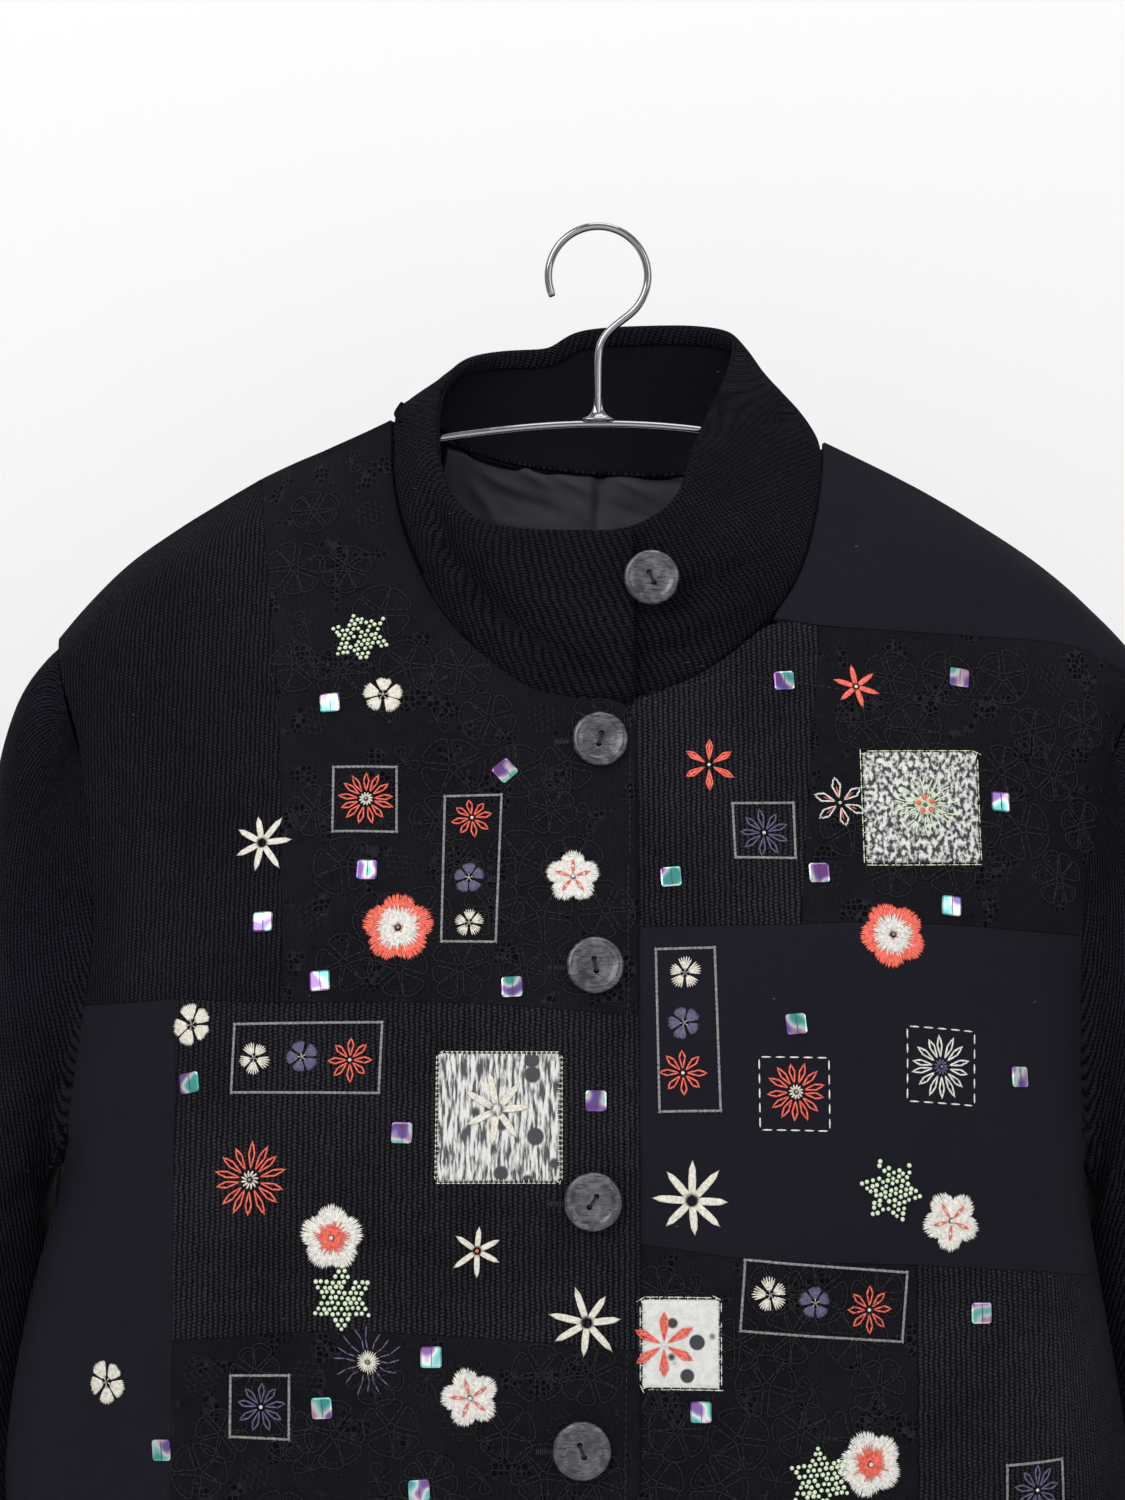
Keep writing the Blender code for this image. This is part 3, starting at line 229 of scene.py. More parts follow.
def joined_surface(meshes):
    """One search tree over the outer faces of several meshes."""
    points = []
    faces = []
    for mesh in meshes:
        first = len(points)
        points.extend(vert.co.copy() for vert in mesh.vertices)
        faces.extend([index + first for index in face.vertices] for face in mesh.polygons)
    return BVHTree.FromPolygons(points, faces)


# Shader nodes

def add(tree, kind, options, inputs):
    """A node with its options; each input is a value or another node's output."""
    item = tree.nodes.new(kind)
    for name, value in options.items():
        setattr(item, name, value)
    for name, value in inputs.items():
        if isinstance(value, bpy.types.NodeSocket):
            tree.links.new(value, item.inputs[name])
        else:
            item.inputs[name].default_value = value
    return item


def maths(tree, operation, first, second=0.0):
    """The result of a Math node."""
    return add(tree, "ShaderNodeMath", {"operation": operation}, {0: first, 1: second}).outputs[0]


def blend(tree, share, low, high):
    """A colour between two, by a share."""
    item = add(tree, "ShaderNodeMix", {"data_type": "RGBA"}, {0: share, 6: low, 7: high})
    return item.outputs[2]


def noise_at(tree, place, scale, detail=2.0):
    """The value of a noise texture."""
    return add(tree, "ShaderNodeTexNoise", {}, {"Vector": place, "Scale": scale,
                                                "Detail": detail}).outputs[0]


def remap(tree, value, low, high, to_low=0.0, to_high=1.0):
    """A value clamped and moved from one range to another."""
    return add(tree, "ShaderNodeMapRange", {}, {0: value, 1: low, 2: high, 3: to_low,
                                                4: to_high}).outputs[0]


NUMBER = "NodeSocketFloat"
VECTOR = "NodeSocketVector"


def new_group(name, inputs, outputs):
    """An empty shader group with named sockets, and its two end nodes."""
    tree = bpy.data.node_groups.new(name, "ShaderNodeTree")
    for label, kind, value in inputs:
        socket = tree.interface.new_socket(label, in_out="INPUT", socket_type=kind)
        if value is not None:
            socket.default_value = value
    for label, kind in outputs:
        tree.interface.new_socket(label, in_out="OUTPUT", socket_type=kind)
    return tree, tree.nodes.new("NodeGroupInput"), tree.nodes.new("NodeGroupOutput")


def start_material(name, roughness, metallic=0.0):
    """A material with an empty Principled shader."""
    material = bpy.data.materials.new(name)
    material.use_nodes = True
    shader = material.node_tree.nodes["Principled BSDF"]
    shader.inputs["Roughness"].default_value = roughness
    shader.inputs["Metallic"].default_value = metallic
    return material, material.node_tree, shader


def object_place(tree):
    """Places on a finished piece, in metres."""
    return add(tree, "ShaderNodeTexCoord", {}, {}).outputs["Object"]


def cloth_place(tree):
    """The piece's own map in mm."""
    return add(tree, "ShaderNodeUVMap", {"uv_map": "cloth"}, {}).outputs[0]


def add_relief(tree, shader, height, distance, strength):
    """Fine relief from a height."""
    bump = add(tree, "ShaderNodeBump", {}, {"Height": height, "Distance": distance,
                                            "Strength": strength})
    tree.links.new(bump.outputs[0], shader.inputs["Normal"])


# Camera, light and room

def make_camera():
    """The camera looks level along +Y, as the photograph was taken."""
    data = bpy.data.cameras.new("camera")
    data.lens = LENS
    data.sensor_width = SENSOR
    data.sensor_fit = "AUTO"
    item = bpy.data.objects.new("camera", data)
    item.location = CAMERA_PLACE
    item.rotation_euler = (math.radians(90), 0, 0)
    bpy.context.scene.collection.objects.link(item)
    bpy.context.scene.camera = item


# place, aimed at, width, height, power
LIGHTS = (
    ((-1.4, -1.8, 1.4), (0.0, 0.0, -0.25), 1.6, 1.6, 44.0),
    ((1.7, -1.6, 0.6), (0.0, 0.0, -0.30), 1.4, 1.4, 16.0),
    ((0.2, 0.0, 1.8), (0.0, 0.0, -0.20), 1.8, 0.9, 16.0),
    ((0.0, -2.4, -0.3), (0.0, 0.0, -0.35), 1.6, 1.2, 8.0),
)
WORLD_LIGHT = 0.46
WALL_Y = 0.62
FLOOR_Z = -1.15
ROOM_BEND = 0.35
ROOM_BEND_STEPS = 8
ROOM_HALF = 3.2
ROOM_TOP = 2.6
ROOM_FRONT = -3.4


def make_lights():
    """Large soft lights and an even grey surround."""
    for place, target, width, height, power in LIGHTS:
        data = bpy.data.lights.new("soft_light", "AREA")
        data.shape = "RECTANGLE"
        data.size = width
        data.size_y = height
        data.energy = power
        item = bpy.data.objects.new("soft_light", data)
        item.visible_camera = False
        item.location = place
        away = Vector(place) - Vector(target)
        item.rotation_euler = away.to_track_quat("Z", "Y").to_euler()
        bpy.context.scene.collection.objects.link(item)
    world = bpy.data.worlds.new("studio")
    world.use_nodes = True
    world.node_tree.nodes["Background"].inputs["Color"].default_value = (1.0, 1.0, 1.0, 1.0)
    world.node_tree.nodes["Background"].inputs["Strength"].default_value = WORLD_LIGHT
    bpy.context.scene.world = world
    bpy.context.scene.view_settings.view_transform = "Standard"


def make_room():
    """A pale floor that bends up into a pale wall, seen through from behind."""
    model = bmesh.new()
    profile = [(ROOM_FRONT, FLOOR_Z), (WALL_Y - ROOM_BEND, FLOOR_Z)]
    for step in range(1, ROOM_BEND_STEPS + 1):
        turn = math.radians(90) * step / ROOM_BEND_STEPS
        profile.append((WALL_Y - ROOM_BEND + ROOM_BEND * math.sin(turn),
                        FLOOR_Z + ROOM_BEND * (1 - math.cos(turn))))
    profile.append((WALL_Y, ROOM_TOP))
    line = [model.verts.new((-ROOM_HALF, y, z)) for y, z in profile]
    edges = [model.edges.new(pair) for pair in zip(line, line[1:])]
    grown = bmesh.ops.extrude_edge_only(model, edges=edges)
    ends = [part for part in grown["geom"] if isinstance(part, bmesh.types.BMVert)]
    bmesh.ops.translate(model, verts=ends, vec=(2 * ROOM_HALF, 0, 0))
    model.normal_update()
    if max(model.faces, key=lambda face: face.calc_center_median().z).normal.y > 0:
        bmesh.ops.reverse_faces(model, faces=model.faces[:])
    mesh = mesh_from(model, "room")
    mesh.shade_smooth()
    room = new_object(mesh, "room")
    material, tree, shader = start_material("pale wall", 0.9)
    shader.inputs["Base Color"].default_value = (0.80, 0.80, 0.80, 1.0)
    unseen = add(tree, "ShaderNodeBsdfTransparent", {}, {})
    side = add(tree, "ShaderNodeNewGeometry", {}, {}).outputs["Backfacing"]
    mixed = add(tree, "ShaderNodeMixShader", {}, {0: side, 1: shader.outputs[0],
                                                  2: unseen.outputs[0]})
    tree.links.new(mixed.outputs[0], tree.nodes["Material Output"].inputs["Surface"])
    mesh.materials.append(material)


# Cloth skins

def hearts_of(region, tube):
    """The point that a skin's outside looks away from."""
    if not tube:
        return BODY_HEART
    total = sum(face.calc_area() for face in region)
    return sum((face.calc_center_median() * face.calc_area() for face in region), Vector()) / total


def skin_regions(model):
    """The faces of each of a wall's two skins; a rim face has no other side close behind it."""
    tree = BVHTree.FromBMesh(model)
    skins = set()
    for face in model.faces:
        start = face.calc_center_median() - face.normal * MERGE
        normal = tree.ray_cast(start, -face.normal, THICKEST_WALL)[1]
        if normal is not None and normal.dot(face.normal) < OPPOSITE:
            skins.add(face)
    groups = []
    while skins:
        group = [skins.pop()]
        for face in group:
            for edge in face.edges:
                for other in edge.link_faces:
                    if other in skins and other.normal.dot(face.normal) > SKIN_BEND:
                        skins.remove(other)
                        group.append(other)
        groups.append(group)
    return sorted(groups, key=lambda group: -sum(face.calc_area() for face in group))


def outward(region, heart):
    """How far a skin looks away from a point: positive on the outer one."""
    return sum(face.calc_area() * face.normal.dot(face.calc_center_median() - heart)
               for face in region)


def skin_of(node, shown):
    """The skin of a CAD wall that shows, as an open mesh of quads that face its viewer."""
    model = merged_node(node)
    model.normal_update()
    regions = skin_regions(model)[:2]
    heart = hearts_of(regions[0] + regions[1], node in TUBES)
    regions.sort(key=lambda region: -outward(region, heart) * shown)
    keep = set(regions[0])
    bmesh.ops.delete(model, geom=[face for face in model.faces if face not in keep],
                     context="FACES")
    join_quads(model, SKIN_QUAD_ANGLE)
    return mesh_from(model, node)


# Hidden seam allowances and the collar's rolled edge: which border, then steps inwards and upwards
BELOW = -1
ABOVE = 1
ALL_ROUND = 0
LEAST_SLOPE = {BELOW: 0.4, ABOVE: 0.4, ALL_ROUND: -1.0}
TUCK = ((1.3, 0.8),)
LONG_TUCKS = {
    "back": ((1.3, 0.8), (2.7, 1.4)),
    "right_front_shoulder": ((1.3, 0.8), (2.6, 2.4)),
    "right_front_upper": ((1.3, 0.8), (2.2, 1.6)),
}
EDGE_STEPS = {
    "collar": ((BELOW, ((2.0, -2.2), (4.4, -5.4))),
               (ABOVE, ((1.3, 1.0), (3.9, 0.9), (5.9, -1.2), (6.1, -7.5)))),
    "collar_lining": ((BELOW, ((-0.8, -4.0), (-1.0, -9.0))),),
    "back_lining": ((ABOVE, ((0.3, 3.5),)),),
}


def border_way(vert):
    """The direction in which an open skin ends at a border point."""
    for edge in vert.link_edges:
        if not edge.is_boundary:
            return (vert.co - edge.other_vert(vert).co).normalized()
    return Vector()


def carry_on(model, side, steps):
    """Carry a skin on over its lower, its upper or its whole border."""
    ways = {vert: border_way(vert) for vert in model.verts if vert.is_boundary}
    row = {vert: way for vert, way in ways.items() if way.length and way.z * side > LEAST_SLOPE[side]}
    for vert, way in ways.items():
        if vert not in row and way.length == 0.0:
            beside = [edge.other_vert(vert) for edge in vert.link_edges]
            known = [other for other in beside if other in row]
            if known:
                row[vert] = row[known[0]]
    border = [edge for edge in model.edges
              if edge.is_boundary and all(vert in row for vert in edge.verts)]
    starts = {vert: (vert.co.copy(), row[vert], vert.normal.copy()) for vert in row}
    for inwards, upwards in steps:
        grown = bmesh.ops.extrude_edge_only(model, edges=border)["geom"]
        fresh = [item for item in grown if isinstance(item, bmesh.types.BMVert)]
        moved = {}
        for vert in fresh:
            old = next(edge.other_vert(vert) for edge in vert.link_edges
                       if edge.other_vert(vert) in starts)
            moved[vert] = starts[old]
            place, way, normal = starts[old]
            vert.co = place + (way * (side or 1) * upwards - normal * inwards) * MM
        border = [item for item in grown if isinstance(item, bmesh.types.BMEdge)
                  and all(vert in moved for vert in item.verts)]
        starts = moved


def extended(mesh, name):
    """The skin with what goes on out of sight past its borders."""
    model = bmesh.new()
    model.from_mesh(mesh)
    for side, steps in EDGE_STEPS.get(name, ()):
        model.normal_update()
        carry_on(model, side, steps)
    model.normal_update()
    model.to_mesh(mesh)
    model.free()
    return mesh


def dip_seams(mesh, name):
    """The cloth's edges turn down into their seams and go on under the next piece."""
    model = bmesh.new()
    model.from_mesh(mesh)
    border = {vert for vert in model.verts if vert.is_boundary}
    near = {edge.other_vert(vert) for vert in border for edge in vert.link_edges} - border
    for vert in border:
        vert.co -= vert.normal * SEAM_DIP
    for vert in near:
        vert.co -= vert.normal * SEAM_DIP_NEXT
    for edge in model.edges:
        edge.smooth = not edge.is_boundary
    carry_on(model, ALL_ROUND, LONG_TUCKS.get(name, TUCK))
    model.to_mesh(mesh)
    model.free()


# Flat measures of the cloth, which its knit and weave follow, in mm

# Body depths by height: z, side y, front y, back y
BODY_DEPTHS = (
    (-80, 0, -3, 20),
    (-110, 0, -18, 48),
    (-153, 0, -38, 50),
    (-207, -3, -62, 49),
    (-314, -15, -103, 44),
    (-410, -30, -127, 40),
    (-502, -38, -133, 38),
    (-630, -38, -118, 24),
)
TURN_SHARE = 0.645
TURN_STRETCH = 0.6
SLEEVE_TOP = Vector((0.245, -0.016, -0.315))
SLEEVE_END = Vector((0.3445, 0.022, -0.680))
SLEEVE_MIDDLE_X = -0.0085
SLEEVE_REACH = (0.056, 0.036)


def body_measure(co):
    """Sideways and downward lengths along the body's cloth."""
    x, y, z = co / MM
    side, front, back = read_rows(BODY_DEPTHS, z)
    deep = front if y < side else back
    turn = side + TURN_SHARE * (deep - side)
    extra = max(y - turn, 0.0) if y < side else max(turn - y, 0.0)
    return x + math.copysign(TURN_STRETCH * extra, x + 10.0), z


def sleeve_measure(co):
    """Share down the sleeve, turn round it from its outside towards the front, and radius."""
    side = 1.0 if co.x > SLEEVE_MIDDLE_X else -1.0
    place = Vector((side * (co.x - SLEEVE_MIDDLE_X) - SLEEVE_MIDDLE_X, co.y, co.z))
    run = SLEEVE_END - SLEEVE_TOP
    along = run.normalized()
    outer = Vector((1.0, 0.0, 0.0))
    outer = (outer - along * outer.dot(along)).normalized()
    ahead = outer.cross(along)
    if ahead.y > 0:
        ahead.negate()
    away = place - SLEEVE_TOP
    down = away.dot(along) / run.length
    share = min(max(down, 0.0), 1.0)
    radius = SLEEVE_REACH[0] + (SLEEVE_REACH[1] - SLEEVE_REACH[0]) * share
    return down, math.atan2(away.dot(ahead), away.dot(outer)), radius


def sleeve_flat(co):
    """Lengths round and up a sleeve or its cuff."""
    down, turn, radius = sleeve_measure(co)
    return turn * radius / MM, -down * (SLEEVE_END - SLEEVE_TOP).length / MM


def neck_flat(co):
    """Lengths round and up the collar."""
    turn = math.atan2(co.x - 0.003, -(co.y + 0.002) * 2.2)
    return turn * 68.0, co.z / MM * 1.08


def band_flat(co):
    """Lengths round and up the hem band."""
    turn = math.atan2((co.x + 0.013) / 0.225, -(co.y + 0.045) / 0.075)
    return turn * 158.0, co.z / MM


def flat_map(mesh, measure):
    """A UV map in millimetres; a tube's map opens along the line where its turn jumps."""
    places = [measure(vert.co) for vert in mesh.vertices]
    turns = measure in (sleeve_flat, neck_flat, band_flat)
    layer = mesh.uv_layers.new(name="cloth")
    for face in mesh.polygons:
        spots = [places[index] for index in face.vertices]
        across = [spot[0] for spot in spots]
        jump = turns and max(across) - min(across) > 60.0
        for loop, (u, v) in zip(face.loop_indices, spots):
            if jump and u < 0:
                u += (max(across) - min(across)) + 4.0
            layer.data[loop].uv = (u, v)


# Creases of the worn, hanging cloth

# Front creases as lines of the photograph: x, y, x, y, half width mm, depth mm
FRONT_CREASES = (
    (893, 965, 886, 1080, 4.0, 1.0),
    (930, 960, 938, 1190, 5.0, 0.8),
    (953, 1000, 962, 1240, 4.0, 0.9),
    (868, 1050, 868, 1160, 5.0, 0.6),
    (660, 940, 700, 1240, 9.0, 0.7),
    (60, 1060, 92, 1380, 8.0, -1.2),
    (130, 1010, 120, 1300, 10.0, 1.0),
    (160, 1330, 150, 1490, 9.0, -0.8),
    (300, 500, 400, 600, 10.0, 0.8),
    (860, 520, 1010, 590, 9.0, 0.7),
    (900, 600, 1060, 618, 7.0, -0.6),
    (110, 700, 60, 930, 10.0, 1.6),
    (80, 690, 30, 860, 8.0, -1.4),
    (60, 930, 20, 1150, 9.0, 1.5),
    (50, 1150, 8, 1330, 10.0, -1.5),
    (1075, 640, 1110, 860, 8.0, 1.4),
    (1100, 900, 1118, 1120, 8.0, -1.2),
    (205, 1100, 240, 1300, 12.0, -0.6),
    (470, 1190, 560, 1330, 12.0, 0.6),
    (330, 1050, 300, 1200, 12.0, 0.6),
)
# Sleeve folds: share down the sleeve, turn round it in degrees, run down, turn run, width, depth
SLEEVE_FOLDS = (
    (0.08, 120, 0.22, -50, 10.0, 2.2),
    (0.18, 150, 0.20, -60, 9.0, -1.8),
    (0.30, 60, 0.18, 70, 11.0, 2.0),
    (0.42, -20, 0.16, 80, 10.0, -1.8),
    (0.55, 90, 0.20, -80, 11.0, 2.2),
    (0.66, -60, 0.16, 90, 10.0, -2.0),
    (0.78, 30, 0.12, -70, 9.0, 2.0),
    (0.88, 100, 0.10, 100, 8.0, -1.8),
    (0.94, -50, 0.06, -90, 7.0, 1.6),
    (0.24, -110, 0.20, 60, 10.0, 2.0),
    (0.48, -140, 0.18, -60, 10.0, 1.8),
)
# Back folds: x, z, x, z in mm, half width mm, depth mm
BACK_CREASES = (
    (-150, -150, -60, -260, 10.0, -1.2),
    (130, -150, 50, -270, 10.0, -1.2),
    (-190, -300, -110, -420, 12.0, 1.4),
    (175, -300, 100, -420, 12.0, 1.4),
    (-60, -420, -80, -560, 11.0, -1.5),
    (20, -300, 26, -560, 12.0, 1.2),
    (95, -430, 110, -560, 10.0, -1.3),
)
# Creases of the lining inside the neck, in the photograph: x, y, x, y, half width, depth
LINING_CREASES = (
    (600, 470, 598, 530, 2.0, -3.2),
    (480, 470, 530, 500, 2.4, 2.2),
    (500, 490, 560, 515, 2.6, -2.2),
    (520, 468, 548, 486, 2.2, 2.0),
    (556, 476, 592, 494, 2.4, 1.8),
    (620, 480, 660, 500, 2.6, 2.0),
    (640, 476, 684, 486, 2.2, -1.8),
    (610, 505, 650, 520, 2.6, -1.8),
    (490, 522, 540, 528, 2.4, 1.8),
    (470, 480, 500, 524, 2.4, 2.0),
    (575, 500, 592, 528, 2.4, 1.6),
)
# Folds of the slouching collar, in the photograph: x, y, x, y, half width, depth
COLLAR_CREASES = (
    (432, 500, 452, 560, 3.8, -2.2),
    (446, 548, 510, 628, 4.2, -3.8),
    (498, 616, 604, 682, 4.2, -4.2),
    (452, 510, 524, 590, 5.5, 2.0),
    (520, 590, 620, 640, 5.5, 2.0),
    (640, 606, 744, 568, 4.6, -3.4),
    (637, 656, 704, 644, 3.8, -2.8),
    (646, 634, 744, 604, 4.5, 1.8),
    (470, 650, 560, 712, 4.0, 1.4),
    (776, 400, 786, 424, 3.2, -2.0),
    (690, 480, 756, 410, 7.0, 1.4),
    (700, 530, 770, 470, 6.0, -1.2),
    (415, 420, 432, 500, 7.0, 1.4),
)
RIPPLE = 0.55
RIPPLE_SIZE = 0.055
FINE_RIPPLE = 0.16
FINE_RIPPLE_SIZE = 0.014
PLACKET = (-0.034, 0.018)


def crease_lift(place, rows, unit):
    """How far a table of creases lifts a place; the table's sizes are millimetres."""
    total = 0.0
    for start_x, start_y, end_x, end_y, width, depth in rows:
        start = Vector((start_x, start_y))
        run = Vector((end_x, end_y)) - start
        share = (place - start).dot(run) / run.length_squared
        if -0.25 < share < 1.25:
            inside = min(max(share, 0.0), 1.0)
            away = (place - start - run * inside).length * unit / width
            if away < 2.6:
                total += depth * math.exp(-away * away) * math.sin(math.pi * (0.12 + 0.76 * inside))
    return total * MM


def ripple(co):
    """Uneven soft waves that run over every piece alike."""
    stretched = Vector((co.x, co.y, co.z * 0.45)) / RIPPLE_SIZE
    fine = Vector((co.x, co.y, co.z * 0.6)) / FINE_RIPPLE_SIZE
    return (noise.noise(stretched) * RIPPLE + noise.noise(fine) * FINE_RIPPLE) * MM


def off_placket(co):
    """0 on the firm front edges and 1 away from them."""
    return between(co.x, PLACKET[1], PLACKET[1] + 0.03) + between(-co.x, -PLACKET[0],
                                                                  -PLACKET[0] + 0.03)


def front_lift(co):
    """Ripples and creases of the fronts, off the firm front edges."""
    return (ripple(co) + crease_lift(screen_place(co), FRONT_CREASES, MM_PER_PIXEL)) * off_placket(co)


def back_lift(co):
    """Ripples and creases of the back."""
    return ripple(co) + crease_lift(Vector((co.x, co.z)) / MM, BACK_CREASES, 1.0)


def sleeve_lift(co):
    """Slanted folds wind round the sleeve; those of the front show in the photograph too."""
    down, turn, reach = sleeve_measure(co)
    total = 0.0
    for start, angle, run, sweep, width, depth in SLEEVE_FOLDS:
        share = (down - start) / run
        if 0.0 < share < 1.0:
            middle = math.radians(angle + sweep * share)
            away = math.remainder(turn - middle, math.tau) * reach / (width * MM)
            total += depth * math.exp(-away * away) * math.sin(math.pi * share) * MM
    shade = between(down, 0.02, 0.12)
    lift = ripple(co) + total * shade
    if co.y < 0.0:
        lift += crease_lift(screen_place(co), FRONT_CREASES, MM_PER_PIXEL)
    return lift


def cuff_lift(co):
    """Ripples of a cuff."""
    return ripple(co) * 0.8


def collar_lift(co):
    """Ripples and the slouching folds of the collar."""
    folds = crease_lift(screen_place(co), COLLAR_CREASES, MM_PER_PIXEL) if co.y < 0.02 else 0.0
    return ripple(co) * 0.6 + folds


def facing_lift(co):
    """Ripples of the collar's lining."""
    return ripple(co) * 0.6


def lining_lift(co):
    """Ripples and creases of the lining inside the neck."""
    return ripple(co) * 0.6 + crease_lift(screen_place(co), LINING_CREASES, MM_PER_PIXEL)


# Putting a cloth piece together

LIFTS = {"back": back_lift, "collar": collar_lift, "collar_lining": facing_lift,
         "back_lining": lining_lift, "sleeve_right": sleeve_lift, "sleeve_left": sleeve_lift,
         "cuff_right": cuff_lift, "cuff_left": cuff_lift, "hem_band": front_lift}
MEASURES = {"collar": neck_flat, "collar_lining": neck_flat, "sleeve_right": sleeve_flat,
            "sleeve_left": sleeve_flat, "cuff_right": sleeve_flat, "cuff_left": sleeve_flat,
            "hem_band": band_flat}


def make_cloth(name, shown, slot, finish, wall, levels, width, length, finishes):
    """One sewn piece: a refined skin with its creases, given its cloth's thickness."""
    mesh = refined(extended(skin_of(name, shown), name), name, levels)
    move_out(mesh, LIFTS.get(name, front_lift))
    mesh.shade_smooth()
    dip_seams(mesh, name)
    flat_map(mesh, MEASURES.get(name, body_measure))
    mesh.materials.clear()
    mesh.materials.append(finishes[finish])
    item = new_object(mesh, f"{name}_cloth")
    thick = item.modifiers.new("thickness", "SOLIDIFY")
    thick.thickness = wall
    thick.offset = -1.0
    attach(item, BODY)
    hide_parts(name)
    return item


# Cloth materials

def knit_group():
    """Columns of stitches on a map in mm, as a height and, from it, a share of painted light: highlight
    on raised stitches, shade in the hollows.
    """
    tree, given, result = new_group(
        "knitted stitches",
        (("Place", VECTOR, None), ("Column", NUMBER, 2.1), ("Row", NUMBER, 1.5),
         ("Lean", NUMBER, 0.0), ("Rib", NUMBER, 0.55)),
        (("Height", NUMBER), ("Relief light", NUMBER)))
    split = add(tree, "ShaderNodeSeparateXYZ", {}, {0: given.outputs["Place"]})
    wobble = maths(tree, "MULTIPLY", maths(tree, "SUBTRACT", noise_at(
        tree, given.outputs["Place"], 0.16), 0.5), 0.9)
    tilt = maths(tree, "MULTIPLY", split.outputs[1], given.outputs["Lean"])
    column = maths(tree, "ADD", maths(tree, "DIVIDE", maths(tree, "ADD", split.outputs[0], tilt),
                                      given.outputs["Column"]), wobble)
    row = maths(tree, "ADD", maths(tree, "DIVIDE", split.outputs[1], given.outputs["Row"]), wobble)
    shift = maths(tree, "MULTIPLY", maths(tree, "FLOOR", column), 0.5)
    rib = maths(tree, "ABSOLUTE", maths(tree, "SINE", maths(tree, "MULTIPLY", column, math.pi)))
    loop = maths(tree, "ABSOLUTE", maths(tree, "SINE", maths(tree, "MULTIPLY", maths(
        tree, "ADD", row, shift), math.pi)))
    loose = noise_at(tree, given.outputs["Place"], 1.15, 3.0)
    ribs = maths(tree, "MULTIPLY", rib, given.outputs["Rib"])
    loops = maths(tree, "MULTIPLY", loop, maths(tree, "SUBTRACT", 1.0, given.outputs["Rib"]))
    height = maths(tree, "ADD", maths(tree, "ADD", ribs, loops), maths(tree, "MULTIPLY", loose, 1.1))
    tree.links.new(height, result.inputs["Height"])
    # Painted light: higher stitches take the paler colour, painted shade fills the hollows.
    tree.links.new(remap(tree, height, 0.88, 1.50), result.inputs["Relief light"])
    return tree


def net_group():
    """A fine net between the lace's flowers, over denser ground, and a share of painted light from its
    height.
    """
    tree, given, result = new_group(
        "lace ground", (("Place", VECTOR, None), ("Mesh", NUMBER, 0.55)),
        (("Height", NUMBER), ("Relief light", NUMBER)))
    place = given.outputs["Place"]
    cells = add(tree, "ShaderNodeTexVoronoi", {"feature": "DISTANCE_TO_EDGE"},
                {"Vector": place, "Scale": given.outputs["Mesh"], "Randomness": 0.55})
    cords = remap(tree, cells.outputs["Distance"], 0.05, 0.22, 1.0, 0.0)
    region = remap(tree, noise_at(tree, place, 0.060), 0.57, 0.63)
    fill = noise_at(tree, place, 1.1, 3.0)
    weave = maths(tree, "ABSOLUTE", maths(tree, "SINE", maths(
        tree, "MULTIPLY", add(tree, "ShaderNodeSeparateXYZ", {}, {0: place}).outputs[0], 4.2)))
    dense = maths(tree, "ADD", maths(tree, "MULTIPLY", weave, 0.3), maths(tree, "MULTIPLY", fill, 0.6))
    net = maths(tree, "MULTIPLY", cords, region)
    ground = maths(tree, "MULTIPLY", dense, maths(tree, "SUBTRACT", 1.0, region))
    height = maths(tree, "ADD", net, ground)
    tree.links.new(height, result.inputs["Height"])
    # Painted light: raised cords and ground take the paler colour, painted shade lies in the hollows
    # between them.
    tree.links.new(remap(tree, height, 0.15, 0.9), result.inputs["Relief light"])
    return tree


def wear_group():
    """Uneven dye and a little lint, as a share of paler cloth."""
    tree, given, result = new_group(
        "dye and lint", (("Place", VECTOR, None), ("Patchiness", NUMBER, 0.5)),
        (("Dye", NUMBER), ("Lint", NUMBER)))
    place = given.outputs["Place"]
    broad = noise_at(tree, place, 0.018, 3.0)
    close = noise_at(tree, place, 0.16, 4.0)
    dye = maths(tree, "ADD", maths(tree, "MULTIPLY", broad, 0.6), maths(tree, "MULTIPLY", close, 0.4))
    dye = maths(tree, "MULTIPLY", remap(tree, dye, 0.35, 0.68), given.outputs["Patchiness"])
    stretched = add(tree, "ShaderNodeMapping", {}, {"Vector": place, "Scale": (0.25, 0.9, 1.0),
                                                    "Rotation": (0.0, 0.0, 0.6)}).outputs[0]
    specks = add(tree, "ShaderNodeTexVoronoi", {}, {"Vector": stretched, "Scale": 0.33})
    lint = remap(tree, specks.outputs["Distance"], 0.035, 0.07, 1.0, 0.0)
    rare = remap(tree, noise_at(tree, place, 0.09), 0.60, 0.64)
    tree.links.new(dye, result.inputs["Dye"])
    tree.links.new(maths(tree, "MULTIPLY", lint, rare), result.inputs["Lint"])
    return tree
